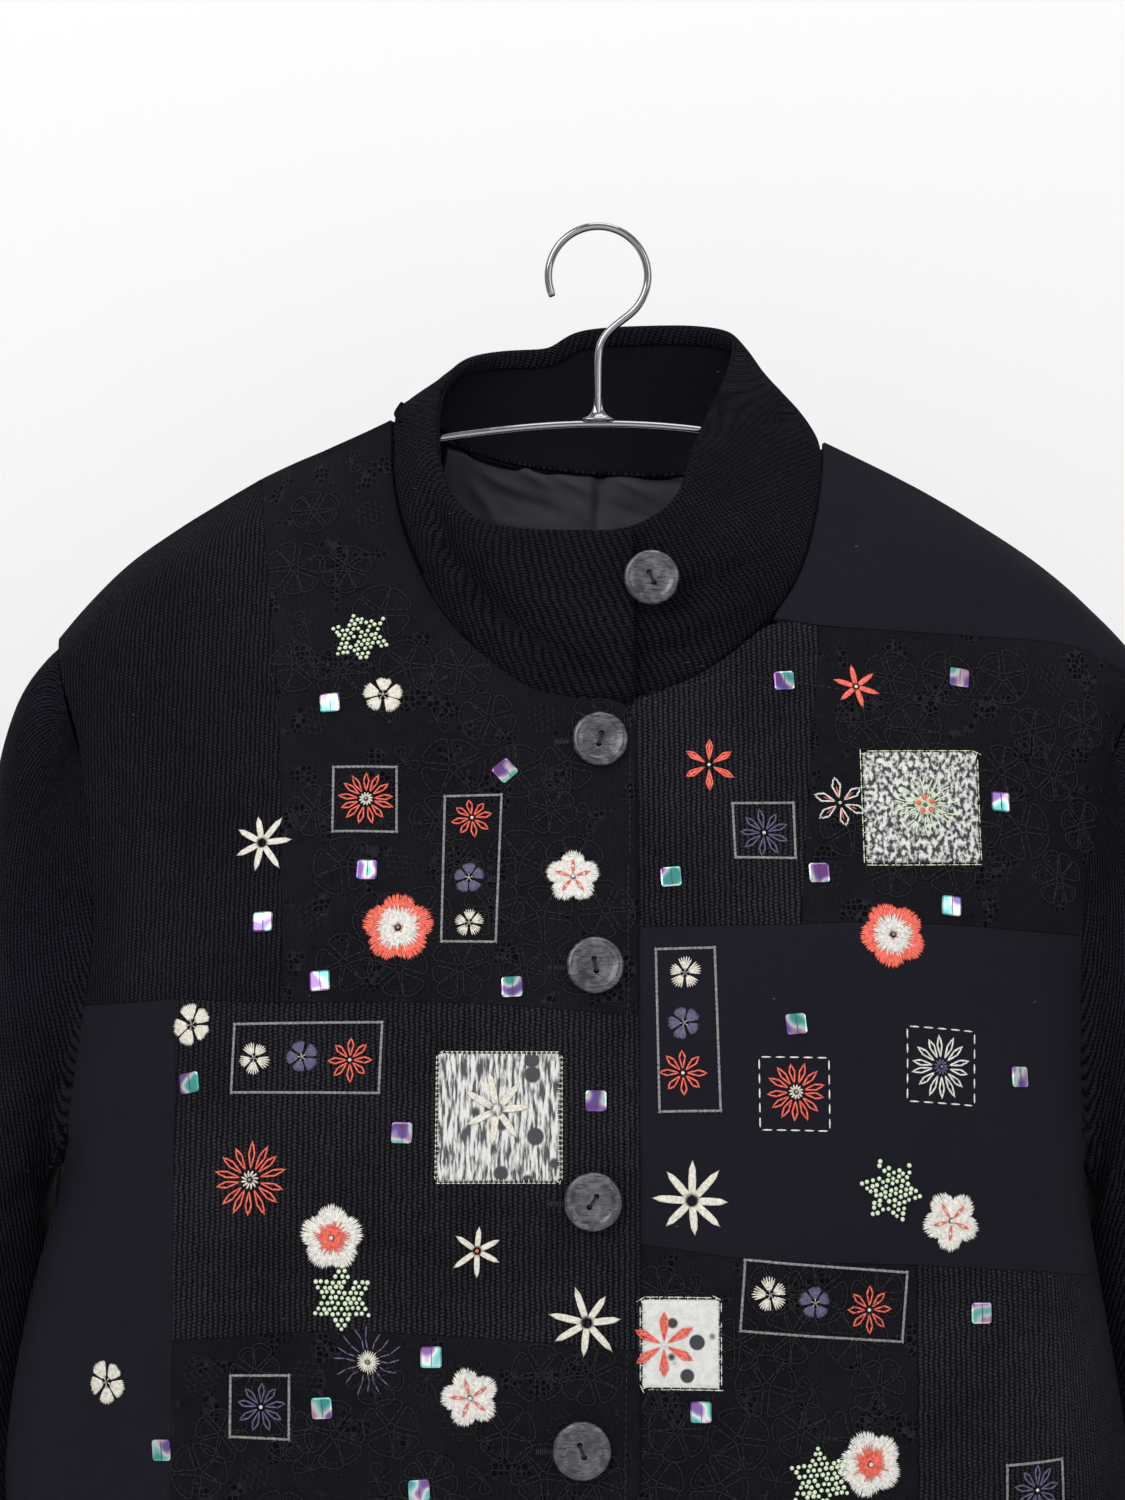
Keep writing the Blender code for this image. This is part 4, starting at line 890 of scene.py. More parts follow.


# finish: darker colour (painted shade in the hollows), paler colour (painted highlight on the raised
# parts), pattern, its sizes, bump depth m, bump strength, roughness
CLOTH_FINISHES = {
    "body knit": ((0.0008, 0.0008, 0.0016), (0.0170, 0.0165, 0.0235), "knit",
                  {"Column": 2.0, "Row": 1.25, "Rib": 0.62}, 0.0010, 1.0, 0.90),
    "panel knit": ((0.0008, 0.0008, 0.0015), (0.0270, 0.0265, 0.0330), "knit",
                   {"Column": 2.2, "Row": 1.45, "Rib": 0.58}, 0.0011, 1.0, 0.90),
    "collar knit": ((0.0006, 0.0006, 0.0014), (0.0125, 0.0130, 0.0195), "knit",
                    {"Column": 1.9, "Row": 1.4, "Rib": 0.52, "Lean": 0.22}, 0.0011, 1.0, 0.92),
    "sleeve knit": ((0.0006, 0.0006, 0.0015), (0.0150, 0.0145, 0.0235), "knit",
                    {"Column": 2.3, "Row": 1.5, "Rib": 0.66, "Lean": 0.42}, 0.0011, 1.0, 0.92),
    "rib knit": ((0.0007, 0.0007, 0.0015), (0.0200, 0.0195, 0.0270), "knit",
                 {"Column": 3.2, "Row": 1.6, "Rib": 0.80}, 0.0013, 1.0, 0.90),
    "lace": ((0.0014, 0.0014, 0.0022), (0.0165, 0.0158, 0.0215), "net",
             {"Mesh": 0.42}, 0.0009, 0.9, 0.86),
    "smooth cloth": ((0.0065, 0.0062, 0.0105), (0.0115, 0.0110, 0.0165), "twill",
                     {}, 0.00014, 0.5, 0.80),
    "facing": ((0.0026, 0.0025, 0.0042), (0.0050, 0.0048, 0.0075), "twill",
               {}, 0.00014, 0.5, 0.70),
    "lining": ((0.0350, 0.0360, 0.0430), (0.0600, 0.0615, 0.0700), "twill",
               {}, 0.00010, 0.5, 0.45),
}
PATCHINESS = 0.55
LINT_COLOUR = (0.10, 0.10, 0.11, 1.0)
CLOTH_SHINE = 0.05


def twill(tree, place):
    """Slanted fine ridges of a woven cloth."""
    turned = add(tree, "ShaderNodeMapping", {}, {"Vector": place, "Rotation": (0, 0, 0.9)}).outputs[0]
    across = add(tree, "ShaderNodeSeparateXYZ", {}, {0: turned}).outputs[0]
    ridge = maths(tree, "ABSOLUTE", maths(tree, "SINE", maths(tree, "MULTIPLY", across, 3.9)))
    return maths(tree, "ADD", ridge, noise_at(tree, place, 1.3, 3.0))


def cloth_material(name, groups):
    """One cloth: its pattern, painted highlight and shade that follow the relief's height, uneven dye,
    lint and relief.
    """
    dark, light, pattern, sizes, depth, strength, roughness = CLOTH_FINISHES[name]
    material, tree, shader = start_material(name, roughness)
    place = cloth_place(tree)
    if pattern == "twill":
        height = twill(tree, place)
        # Painted light: the twill's ridges take the paler colour, painted shade lies between them.
        relief_light = remap(tree, height, 0.2, 1.6, 0.25, 0.75)
    else:
        stitches = add(tree, "ShaderNodeGroup", {"node_tree": groups[pattern]},
                       {"Place": place, **sizes})
        height = stitches.outputs["Height"]
        relief_light = stitches.outputs["Relief light"]
    wear = add(tree, "ShaderNodeGroup", {"node_tree": groups["wear"]},
               {"Place": place, "Patchiness": PATCHINESS})
    # Painted highlight and shade: the relief's height, scaled by uneven dye at random, mixes the darker
    # and the paler colour.
    share = maths(tree, "MINIMUM", maths(tree, "MULTIPLY", relief_light, maths(
        tree, "ADD", wear.outputs["Dye"], 0.62)), 1.0)
    colour = blend(tree, share, (*dark, 1.0), (*light, 1.0))
    linty = blend(tree, wear.outputs["Lint"], colour, LINT_COLOUR)
    tree.links.new(linty, shader.inputs["Base Color"])
    add_relief(tree, shader, height, depth, strength)
    shader.inputs["Specular IOR Level"].default_value = CLOTH_SHINE
    return material


# print: ground, second colour, mottle scale per mm across and along, dot colour, dots per mm, dot size
PRINTS = {
    "mottled print": ((0.030, 0.030, 0.034), (0.60, 0.60, 0.58), 0.55, 0.40, (0.66, 0.66, 0.63), 0.14,
                      0.13),
    "dark dots print": ((0.62, 0.62, 0.60), (0.060, 0.060, 0.066), 0.75, 0.12, (0.045, 0.045, 0.052),
                        0.085, 0.26),
    "pale dots print": ((0.62, 0.62, 0.60), (0.55, 0.55, 0.53), 0.30, 0.30, (0.035, 0.035, 0.042), 0.12,
                        0.34),
}


def print_material(name):
    """Printed cotton: a mottled ground with scattered dots."""
    ground, second, across, along, dots, pitch, size = PRINTS[name]
    material, tree, shader = start_material(name, 0.86)
    place = cloth_place(tree)
    stretched = add(tree, "ShaderNodeMapping", {}, {"Vector": place, "Scale": (across, along, 1.0)})
    mottle = noise_at(tree, stretched.outputs[0], 1.0, 6.0)
    colour = blend(tree, remap(tree, mottle, 0.44, 0.58), (*ground, 1.0), (*second, 1.0))
    cells = add(tree, "ShaderNodeTexVoronoi", {}, {"Vector": place, "Scale": pitch, "Randomness": 0.8})
    near = remap(tree, cells.outputs["Distance"], size, size + 0.06, 1.0, 0.0)
    tree.links.new(blend(tree, near, colour, (*dots, 1.0)), shader.inputs["Base Color"])
    add_relief(tree, shader, twill(tree, place), 0.00012, 0.6)
    return material


# Threads and knots

CAST_HEIGHT = 0.03
THREAD = 0.62
THREAD_HEIGHT = 0.5
STITCH_SINK = 0.12
SHORTEST_THREAD = 1e-6
# Places of all templates so far: threads and knots by colour
work = {"stitches": {}, "knots": {}, "sequins": []}


class Spot:
    """A place on the cloth with its own flat directions, in millimetres."""

    def __init__(self, surface, px, py, turn=0.0):
        """The place that the camera sees at a pixel, turned by some degrees."""
        hit, normal = surface.ray_cast(CAMERA_PLACE, sight(px, py))[:2]
        if normal.dot(sight(px, py)) > 0:
            normal = -normal
        self.surface = surface
        self.centre = hit
        self.out = normal
        level = (Vector((1.0, 0.0, 0.0)) - normal * normal.x).normalized()
        spin = Matrix.Rotation(math.radians(turn), 3, normal)
        self.right = spin @ level
        self.up = spin @ normal.cross(level)

    def at(self, x, y):
        """The cloth's point and outward direction at a place near the spot."""
        over = self.centre + (self.right * x + self.up * y) * MM
        hit, normal = self.surface.ray_cast(over + self.out * CAST_HEIGHT, -self.out)[:2]
        if hit is None:
            return over, self.out
        return hit, normal if normal.dot(self.out) > 0 else -normal


def add_thread(colour, start, end, out, width, height, raised):
    """A thread between two points, its middle raised outwards; sizes in mm."""
    along = end - start
    side = out.cross(along).normalized()
    up = along.normalized().cross(side)
    middle = (start + end) / 2 + up * (raised * MM)
    shape = Matrix((side * width * MM, up * height * MM, along)).transposed()
    work["stitches"].setdefault(colour, []).append(Matrix.Translation(middle) @ shape.to_4x4())


def stitch(spot, colour, start, end, width=THREAD, height=THREAD_HEIGHT, lift=0.0):
    """A thread that lies on the cloth from one place to another."""
    first, first_out = spot.at(*start)
    last, last_out = spot.at(*end)
    if (last - first).length < SHORTEST_THREAD:
        return
    out = (first_out + last_out).normalized()
    add_thread(colour, first, last, out, width, height, height / 2 - STITCH_SINK + lift)


def knot(spot, colour, x, y, size=1.7, lift=0.0):
    """A French knot, or a small bead."""
    place, out = spot.at(x, y)
    side = out.orthogonal().normalized()
    turned = Matrix((side, out.cross(side), out)).transposed()
    shape = Matrix.Diagonal((size * MM, size * MM, size * 0.72 * MM))
    work["knots"].setdefault(colour, []).append(
        Matrix.Translation(place + out * ((size * 0.26 + lift) * MM)) @ (turned @ shape).to_4x4())


def polar(radius, degrees):
    """A flat place from a radius and a compass turn."""
    return (radius * math.sin(math.radians(degrees)), radius * math.cos(math.radians(degrees)))


def thread_line(spot, colour, places, step, length, width=THREAD, slant=0.0, height=THREAD_HEIGHT):
    """Overlapping stitches along a line of places."""
    for start, end in zip(places, places[1:]):
        run = Vector(end) - Vector(start)
        count = max(int(run.length / step), 1)
        way = run.normalized()
        side = Vector((-way.y, way.x)) * slant
        for index in range(count):
            middle = Vector(start) + run * (index + 0.5) / count
            stitch(spot, colour, middle - way * length / 2 - side, middle + way * length / 2 + side,
                   width, height)


# Flowers: each is drawn round its spot with a radius in mm

def satin_petals(spot, radius, rng, petals=5, thread="cream", heart="cream", stitches=11):
    """Rounded petals of side-by-side threads."""
    wedge = 360 / petals
    for petal in range(petals):
        turn = petal * wedge + rng.uniform(-5, 5)
        reach = radius * rng.uniform(0.93, 1.05)
        for index in range(stitches):
            share = (index + 0.5) / stitches * 2 - 1
            tip = reach * (1 - 0.16 * share * share - 0.07 * (1 - abs(share)))
            stitch(spot, thread, polar(radius * 0.20, turn + share * wedge * 0.26),
                   polar(tip * rng.uniform(0.96, 1.03), turn + share * wedge * 0.40),
                   max(radius * 0.105, 0.72), 0.75)
    knot(spot, "bead", 0, 0, 1.6, 0.3)
    for index in range(petals):
        stitch(spot, heart, polar(0.6, index * wedge), polar(radius * 0.26, index * wedge), 0.35, 0.9)


def leaves(spot, radius, rng, count=7, thread="cream", threads=5, plump=1.15, heart=None):
    """A star of pointed leaves worked in long threads."""
    for leaf in range(count):
        turn = leaf * 360 / count + rng.uniform(-6, 6)
        reach = radius * rng.uniform(0.86, 1.08)
        for index in range(threads):
            share = index / (threads - 1) * 2 - 1
            side = share * radius * 0.105
            base = Vector(polar(radius * 0.12, turn)) + Vector(polar(side * 0.6, turn + 90))
            tip = Vector(polar(reach * (1 - 0.13 * abs(share)), turn)) + Vector(polar(side * 0.5,
                                                                                      turn + 90))
            stitch(spot, thread, base, tip, plump, 0.75)
    if heart:
        knot(spot, heart, 0, 0, 1.7)


def daisy(spot, radius, rng, petals=12, thread="coral", ring="cream", loops=True, inner=0.30,
          fat=1.0):
    """Looped petals, each of two bent threads held at the tip, round a ring or a knot."""
    for petal in range(petals):
        turn = petal * 360 / petals + rng.uniform(-3, 3)
        reach = radius * rng.uniform(0.94, 1.04)
        wide = min(radius * 1.35 / petals, 1.35) * fat
        for side in (-1, 1):
            base = Vector(polar(radius * inner, turn))
            bend = Vector(polar(radius * 0.72, turn)) + Vector(polar(wide * side, turn + 90))
            tip = Vector(polar(reach, turn)) + Vector(polar(wide * side * 0.25, turn + 90))
            stitch(spot, thread, base, bend + (tip - base) * 0.12, 0.78, 0.7)
            stitch(spot, thread, bend - (tip - base) * 0.12, tip, 0.78, 0.7)
        if not loops:
            stitch(spot, thread, polar(radius * (inner + 0.1), turn), polar(reach * 0.95, turn),
                   wide * 1.1, 0.45)
        stitch(spot, thread, polar(reach * 0.90, turn), polar(reach * 1.06, turn), 0.62, 0.8)
    if ring:
        steps = 12
        for index in range(steps):
            turn = index * 360 / steps
            stitch(spot, ring, polar(radius * 0.08, turn), polar(radius * 0.27, turn + 20), 0.9, 0.8)
        knot(spot, "bead", 0, 0, 1.5, 0.5)
    else:
        knot(spot, "cream", 0, 0, 1.6)


def two_colour_loops(spot, radius, rng):
    """White loops with coral threads inside them."""
    daisy(spot, radius, rng, 6, "white", None, inner=0.18, fat=1.5)
    for petal in range(6):
        stitch(spot, "coral", polar(radius * 0.24, petal * 60), polar(radius * 0.72, petal * 60), 0.6)


def full_satin(spot, radius, rng, lobes=5, edge="coral", middle="white", split=0.64, threads=100,
               heart="coral", depth=0.20):
    """A whole flower of threads that run outwards to a lobed edge."""
    for index in range(threads):
        turn = index * 360 / threads + rng.uniform(-1, 1)
        lobe = abs(math.cos(math.radians(turn * lobes / 2)))
        reach = radius * (1.0 - depth + depth * lobe ** 0.7) * rng.uniform(0.96, 1.03)
        change = radius * split * rng.uniform(0.72, 1.16)
        if edge != middle:
            stitch(spot, edge, polar(radius * 0.42, turn), polar(reach, turn), radius * 0.078, 0.75)
            stitch(spot, middle, polar(radius * 0.08, turn), polar(change, turn), radius * 0.046, 0.85,
                   0.15)
        else:
            stitch(spot, middle, polar(radius * 0.26, turn), polar(reach, turn), radius * 0.080, 0.8)
            if index % 2:
                stitch(spot, middle, polar(radius * 0.06, turn), polar(radius * 0.6, turn),
                       radius * 0.072, 0.8)
    if heart:
        for index in range(5):
            knot(spot, heart, *polar(radius * 0.13, index * 72), 0.8, 0.6)
    knot(spot, "bead", 0, 0, 1.7, 0.7)


def satin_with_daisy(spot, radius, rng, petals=5):
    """A white satin flower with small coral loops over its middle."""
    full_satin(spot, radius, rng, edge="white", middle="white", heart=None, depth=0.30)
    for petal in range(petals):
        turn = petal * 360 / petals
        for side in (-1, 1):
            bend = Vector(polar(radius * 0.40, turn)) + Vector(polar(0.6 * side, turn + 90))
            stitch(spot, "coral", polar(radius * 0.12, turn), bend, 0.60, 0.6, 0.62)
            stitch(spot, "coral", bend, polar(radius * 0.64, turn), 0.60, 0.6, 0.62)
    knot(spot, "cream", 0, 0, 1.8, 0.9)


def satin_with_heart(spot, radius, rng):
    """A white satin flower with a solid coral middle."""
    full_satin(spot, radius, rng, edge="white", middle="white", heart=None)
    for index in range(44):
        turn = index * 360 / 44
        stitch(spot, "coral", polar(radius * 0.06, turn), polar(radius * rng.uniform(0.36, 0.62), turn),
               0.62, 0.7, 0.55)
    knot(spot, "cream", 0, 0, 2.0, 0.9)


def rays(spot, radius, rng, count=16, thread="purple", middle="cream"):
    """Wavy single rays round a plump middle."""
    for index in range(count):
        turn = index * 360 / count + rng.uniform(-3, 3)
        reach = radius * rng.uniform(0.86, 1.06)
        bend = Vector(polar(reach * 0.66, turn + rng.choice((-5, 5))))
        stitch(spot, thread, polar(radius * 0.34, turn), bend, 0.75, 0.6)
        stitch(spot, thread, bend * 0.96, polar(reach, turn + rng.uniform(-3, 3)), 0.7, 0.6)
    for index in range(26):
        turn = index * 360 / 26
        stitch(spot, middle, polar(radius * 0.05, turn), polar(radius * rng.uniform(0.30, 0.38), turn),
               0.65, 0.8)
    knot(spot, "bead", 0, 0, 1.5, 0.4)


def knot_star(spot, radius, rng, points=6, thread="green"):
    """A star filled with French knots."""
    gap = 2.35
    rows = int(radius * 2 / gap) + 1
    for row in range(-rows, rows + 1):
        for column in range(-rows, rows + 1):
            x = (column + (row % 2) / 2) * gap + rng.uniform(-0.35, 0.35)
            y = row * gap * 0.88 + rng.uniform(-0.35, 0.35)
            turn = math.degrees(math.atan2(x, y)) % (360 / points) - 180 / points
            edge = radius * (0.62 + 0.38 * (abs(turn) / (180 / points)) ** 1.3)
            if math.hypot(x, y) < edge and rng.random() < 0.93:
                knot(spot, thread, x, y, rng.uniform(1.7, 2.1))


def stem_frame(spot, width, height, rng, thread="grey", dashed=False):
    """A square-cornered frame of stem stitches, or of running stitches."""
    corners = [(-width / 2, -height / 2), (width / 2, -height / 2), (width / 2, height / 2),
               (-width / 2, height / 2), (-width / 2, -height / 2)]
    bent = [(x + rng.uniform(-0.4, 0.4), y + rng.uniform(-0.4, 0.4)) for x, y in corners[:-1]]
    bent.append(bent[0])
    if dashed:
        thread_line(spot, "white", bent, 5.6, 4.3, 0.75)
    else:
        thread_line(spot, thread, bent, 1.9, 3.8, 1.05, 0.34, 0.8)


# Embroidery of the fronts

# The embroidery of the fronts: each row is a flower, its place in the photograph, its size in
# pixels there and its own turn
FLOWERS = (
    ("knot star", 360, 637, 64, 10),
    ("knot star", 342, 1298, 68, 0),
    ("knot star", 891, 1190, 66, 20),
    ("knot star", 820, 1480, 66, 5),
    ("cream satin", 383, 695, 46, 0),
    ("cream satin", 192, 1025, 48, 20),
    ("cream satin", 107, 1382, 48, 35),
    ("seven leaves", 262, 843, 66, 10),
    ("six leaves", 477, 1251, 54, 0),
    ("seven leaves", 587, 1323, 72, 20),
    ("eight leaves", 692, 1201, 76, 0),
    ("coral edge", 398, 928, 74, 0),
    ("coral edge", 893, 935, 70, 25),
    ("white with daisy", 573, 877, 58, 0),
    ("white with daisy", 951, 1221, 62, 30),
    ("white with daisy", 470, 1398, 60, 15),
    ("white with heart", 332, 1238, 66, 0),
    ("white with heart", 870, 1464, 68, 20),
    ("big coral daisy", 250, 1180, 70, 0),
    ("coral satin", 856, 687, 48, 12),
    ("coral loops", 709, 765, 54, 0),
    ("two-colour loops", 840, 803, 52, 10),
    ("purple rays", 368, 1362, 68, 0),
    ("framed coral", 366, 799, 50, 0),
    ("small coral", 472, 818, 36, 10),
    ("small purple", 469, 878, 36, 0),
    ("small cream", 469, 923, 34, 0),
    ("small cream", 254, 1058, 36, 30),
    ("small purple", 302, 1057, 36, 15),
    ("small coral", 350, 1060, 38, 0),
    ("purple satin", 261, 1407, 42, 0),
    ("purple satin", 764, 833, 44, 10),
    ("small cream", 685, 973, 36, 0),
    ("small purple", 684, 1023, 36, 20),
    ("small coral", 683, 1073, 40, 0),
    ("small cream", 770, 1295, 38, 10),
    ("small purple", 815, 1303, 36, 0),
    ("small coral", 869, 1310, 40, 0),
    ("purple satin", 1037, 1490, 44, 0),
    ("framed coral", 796, 1092, 52, 10),
    ("purple heart", 941, 1067, 54, 0),
)
# Frames: left, right, top and bottom in the photograph, turn, running stitches or not
FRAMES = (
    (332, 397, 764, 834, 0, False),
    (443, 499, 790, 946, -1, False),
    (231, 381, 1024, 1092, -1, False),
    (231, 288, 1377, 1437, 0, False),
    (733, 795, 801, 860, 1, False),
    (658, 717, 947, 1110, 1, False),
    (744, 908, 1268, 1336, -5, False),
    (1004, 1069, 1463, 1523, 0, False),
    (760, 830, 1058, 1130, 0, True),
    (906, 979, 1029, 1103, -2, True),
)
# kind: how it is drawn, its reach against the size in the table, and its options
FLOWER_KINDS = {
    "knot star": (knot_star, 1.0, {}),
    "cream satin": (satin_petals, 1.0, {}),
    "seven leaves": (leaves, 1.0, {"count": 7, "plump": 1.3}),
    "six leaves": (leaves, 1.0, {"count": 6, "heart": "coral"}),
    "eight leaves": (leaves, 1.0, {"count": 8, "plump": 1.5}),
    "coral edge": (full_satin, 1.0, {}),
    "white with daisy": (satin_with_daisy, 1.0, {}),
    "white with heart": (satin_with_heart, 1.0, {}),
    "big coral daisy": (daisy, 1.0, {"petals": 14}),
    "coral satin": (leaves, 1.0, {"count": 6, "thread": "coral", "plump": 1.4, "heart": "cream"}),
    "coral loops": (daisy, 1.0, {"petals": 6, "ring": None, "loops": False, "inner": 0.16, "fat": 1.1}),
    "two-colour loops": (two_colour_loops, 1.0, {}),
    "purple rays": (rays, 1.0, {}),
    "framed coral": (daisy, 1.08, {"petals": 13, "fat": 1.1}),
    "small coral": (daisy, 1.1, {"petals": 8, "ring": None, "inner": 0.16}),
    "small purple": (satin_petals, 1.0, {"thread": "purple", "heart": "white"}),
    "small cream": (satin_petals, 1.0, {"stitches": 6}),
    "purple satin": (daisy, 1.1, {"petals": 9, "thread": "purple", "ring": None, "inner": 0.16}),
    "purple heart": (daisy, 1.12, {"petals": 14, "thread": "white", "ring": "purple"}),
}


def embroider(surface):
    """All flowers and frames of the fronts."""
    rng = random.Random(SEED)
    for kind, px, py, size, turn in FLOWERS:
        draw, share, options = FLOWER_KINDS[kind]
        radius = size / 2 * FRONT_MM_PER_PIXEL * share
        draw(Spot(surface, px, py, turn), radius, rng, **options)
    for left, right, top, bottom, turn, dashed in FRAMES:
        spot = Spot(surface, (left + right) / 2, (top + bottom) / 2, turn)
        stem_frame(spot, (right - left) * FRONT_MM_PER_PIXEL, (bottom - top) * FRONT_MM_PER_PIXEL,
                   rng, dashed=dashed)


# Sewing lines

# Sewing lines as places of the photograph, and the buttonholes' middles
TOPSTITCHES = (
    ((631, 702), (629, 860), (628, 1010), (628, 1180), (627, 1340), (625, 1499)),
    ((648, 690), (700, 684), (745, 664)),
    ((748, 676), (850, 690), (960, 700), (1044, 712)),
)
BUTTONHOLES = ((562, 742), (557, 968), (555, 1204), (544, 1452))
BAR_STITCHES = 9
BAR_GAP = 0.75


def sewing_lines(surface):
    """Topstitching and buttonhole bars in dark thread."""
    for places in TOPSTITCHES:
        for start, end in zip(places, places[1:]):
            middle = ((start[0] + end[0]) / 2, (start[1] + end[1]) / 2)
            if surface.ray_cast(CAMERA_PLACE, sight(*middle))[0] is None:
                continue
            spot = Spot(surface, *middle)
            run = Vector((end[0] - start[0], start[1] - end[1])) * FRONT_MM_PER_PIXEL
            thread_line(spot, "black", [-run / 2, run / 2], 3.0, 2.3, 0.42, 0.0, 0.4)
    for px, py in BUTTONHOLES:
        spot = Spot(surface, px, py)
        for index in range(BAR_STITCHES):
            shift = (index - BAR_STITCHES // 2) * BAR_GAP
            stitch(spot, "black", (shift, -1.3), (shift + 0.1, 1.3), 0.55, 0.6)


# Sequins and lace

SEQUIN = 8.2
SEQUIN_THICK = 0.5
SEQUINS = (
    (330, 703, 4), (505, 771, 42), (367, 870, -3), (263, 922, 0), (320, 981, 3), (512, 987, 2),
    (190, 1083, 8), (596, 1101, 0), (402, 1133, -2), (431, 1357, 0), (322, 1408, 4),
    (162, 1450, 5), (419, 1490, 3), (784, 681, 3), (959, 678, -5), (1000, 802, 0),
    (671, 877, 4), (819, 873, 3), (951, 906, -4), (796, 1024, 6), (1019, 1077, 2),
    (981, 1313, 0), (701, 1412, 0),
)


def sequin(spot, index):
    """A square sequin held by a thread across its middle."""
    frame_of = Matrix((spot.right, spot.up, spot.out)).transposed()
    place = spot.centre + spot.out * (SEQUIN_THICK * 0.9 * MM)
    tilt = Matrix.Rotation(0.05 * math.sin(index * 2.3), 3, "Y")
    scale = Matrix.Diagonal((SEQUIN * MM, SEQUIN * MM, SEQUIN_THICK * MM))
    work["sequins"].append(Matrix.Translation(place) @ (frame_of @ tilt @ scale).to_4x4())
    stitch(spot, "silver", (0.3, -SEQUIN * 0.52), (0.1, SEQUIN * 0.5), 0.34, 0.4, SEQUIN_THICK * 2.0)


def cord(spot, places, width, height=0.75):
    """A raised lace cord along flat places near a spot."""
    for start, end in zip(places, places[1:]):
        run = Vector(end) - Vector(start)
        reach = run.normalized() * width * 0.35
        stitch(spot, "lace", Vector(start) - reach, Vector(end) + reach, width, height)


def petal_outline(centre, turn, length, width, steps):
    """Places round a rounded petal that starts at a flower's middle."""
    line = []
    for step in range(steps + 1):
        share = step / steps
        along = length * math.sin(math.pi * share) ** 0.75
        across = width * math.sin(math.tau * share) * 0.5
        line.append(Vector(centre) + Vector(polar(along, turn)) + Vector(polar(across, turn + 90)))
    return line


def lace_flower(spot, radius, rng):
    """Rounded petals outlined by double cords, with ribs, round a ring."""
    petals = rng.choice((5, 6, 7))
    for petal in range(petals):
        turn = petal * 360 / petals + rng.uniform(-8, 8)
        length = radius * rng.uniform(0.88, 1.08)
        width = length * math.tan(math.pi / petals) * 1.35
        base = polar(radius * 0.16, turn)
        cord(spot, petal_outline(base, turn, length * 0.84, width, 13), 0.55)
        cord(spot, petal_outline(base, turn, length * 0.70, width * 0.72, 9), 0.32, 0.5)
    ring = [polar(radius * 0.15, step * 45) for step in range(9)]
    cord(spot, ring, 0.6)


def lace_leaf(spot, radius, rng):
    """A pair of leaves on a bent stem."""
    bend = rng.uniform(-30, 30)
    stem = [polar(radius * share, bend * share) for share in (0.0, 0.3, 0.6, 0.9, 1.2)]
    cord(spot, stem, 0.5)
    for side in (-1, 1):
        leaf = petal_outline(polar(radius * 0.35, bend * 0.35), side * 62 + bend, radius * 0.75,
                             radius * 0.5, 10)
        cord(spot, leaf, 0.5)
        cord(spot, [leaf[0], leaf[5]], 0.3, 0.5)


def lace_net(spot, radius):
    """A patch of open diamond net."""
    gap = 2.5
    lines = int(radius / gap)
    for index in range(-lines, lines + 1):
        reach = math.sqrt(max(radius * radius - (index * gap) ** 2, 0.0))
        steps = max(int(reach * 2 / 3.0), 1)
        for way in (-32, 32):
            places = []
            for step in range(steps + 1):
                along = -reach + reach * 2 * step / steps
                places.append(Vector(polar(along, way)) + Vector(polar(index * gap, way + 90)))
            cord(spot, places, 0.30, 0.45)


LACE_GAP = 23.0
LACE_EDGE = 0.004


def lay_lace(mesh, rng):
    """Lace flowers, leaves and nets, spread over one panel."""
    borders = KDTree(len(mesh.vertices))
    model = bmesh.new()
    model.from_mesh(mesh)
    for index, vert in enumerate(vert for vert in model.verts if vert.is_boundary):
        borders.insert(vert.co, index)
    borders.balance()
    places = [screen_place(vert.co) for vert in model.verts]
    model.free()
    gap = LACE_GAP / FRONT_MM_PER_PIXEL
    left, right = min(place.x for place in places), max(place.x for place in places)
    top, bottom = min(place.y for place in places), max(place.y for place in places)
    panel = BVHTree.FromPolygons([vert.co for vert in mesh.vertices],
                                 [tuple(face.vertices) for face in mesh.polygons])
    rows = int((bottom - top) / (gap * 0.87)) + 1
    columns = int((right - left) / gap) + 2
    for row in range(rows + 1):
        for column in range(columns):
            px = left + (column + (row % 2) / 2) * gap + rng.uniform(-7, 7)
            py = top + row * gap * 0.87 + rng.uniform(-7, 7)
            kind = rng.random()
            turn = rng.uniform(0, 360)
            size = rng.uniform(0.46, 0.56) * LACE_GAP
            if panel.ray_cast(CAMERA_PLACE, sight(px, py))[0] is None:
                continue
            spot = Spot(panel, px, py, turn)
            if borders.find(spot.centre)[2] < LACE_EDGE + 0.004:
                continue
            if kind < 0.62:
                lace_flower(spot, size, rng)
            elif kind < 0.80:
                lace_leaf(spot, size * 0.8, rng)
            else:
                lace_net(spot, size * 0.62)


# Patches

PATCHES = (
    ("patch_upper", "mottled print", 49, 47),
    ("patch_middle", "dark dots print", 50, 50),
    ("patch_lower", "pale dots print", 33, 37),
)
PATCH_WALL = 0.0009
PATCH_LEVELS = 3
# Middles of the flowers on the patches, in the photograph
UPPER_PATCH_FLOWER = (925, 805)
MIDDLE_PATCH_FLOWER = (497, 1110)
LOWER_PATCH_FLOWER = (664, 1345)
# Thread, how far apart and how long the stitches round each patch are
PATCH_SEWING = {"patch_upper": ("green", 4.2, 4.0), "patch_middle": ("cream", 1.5, 1.3),
                "patch_lower": ("white", 3.4, 2.4)}


def border_round(model):
    """The places round an open skin's border, in order and closed."""
    current = next(edge for edge in model.edges if edge.is_boundary)
    vert = current.verts[0]
    used = set()
    places = []
    while current is not None:
        used.add(current)
        places.append(vert.co.copy())
        vert = current.other_vert(vert)
        current = next((edge for edge in vert.link_edges if edge.is_boundary and edge not in used),
                       None)
    return places + places[:1]


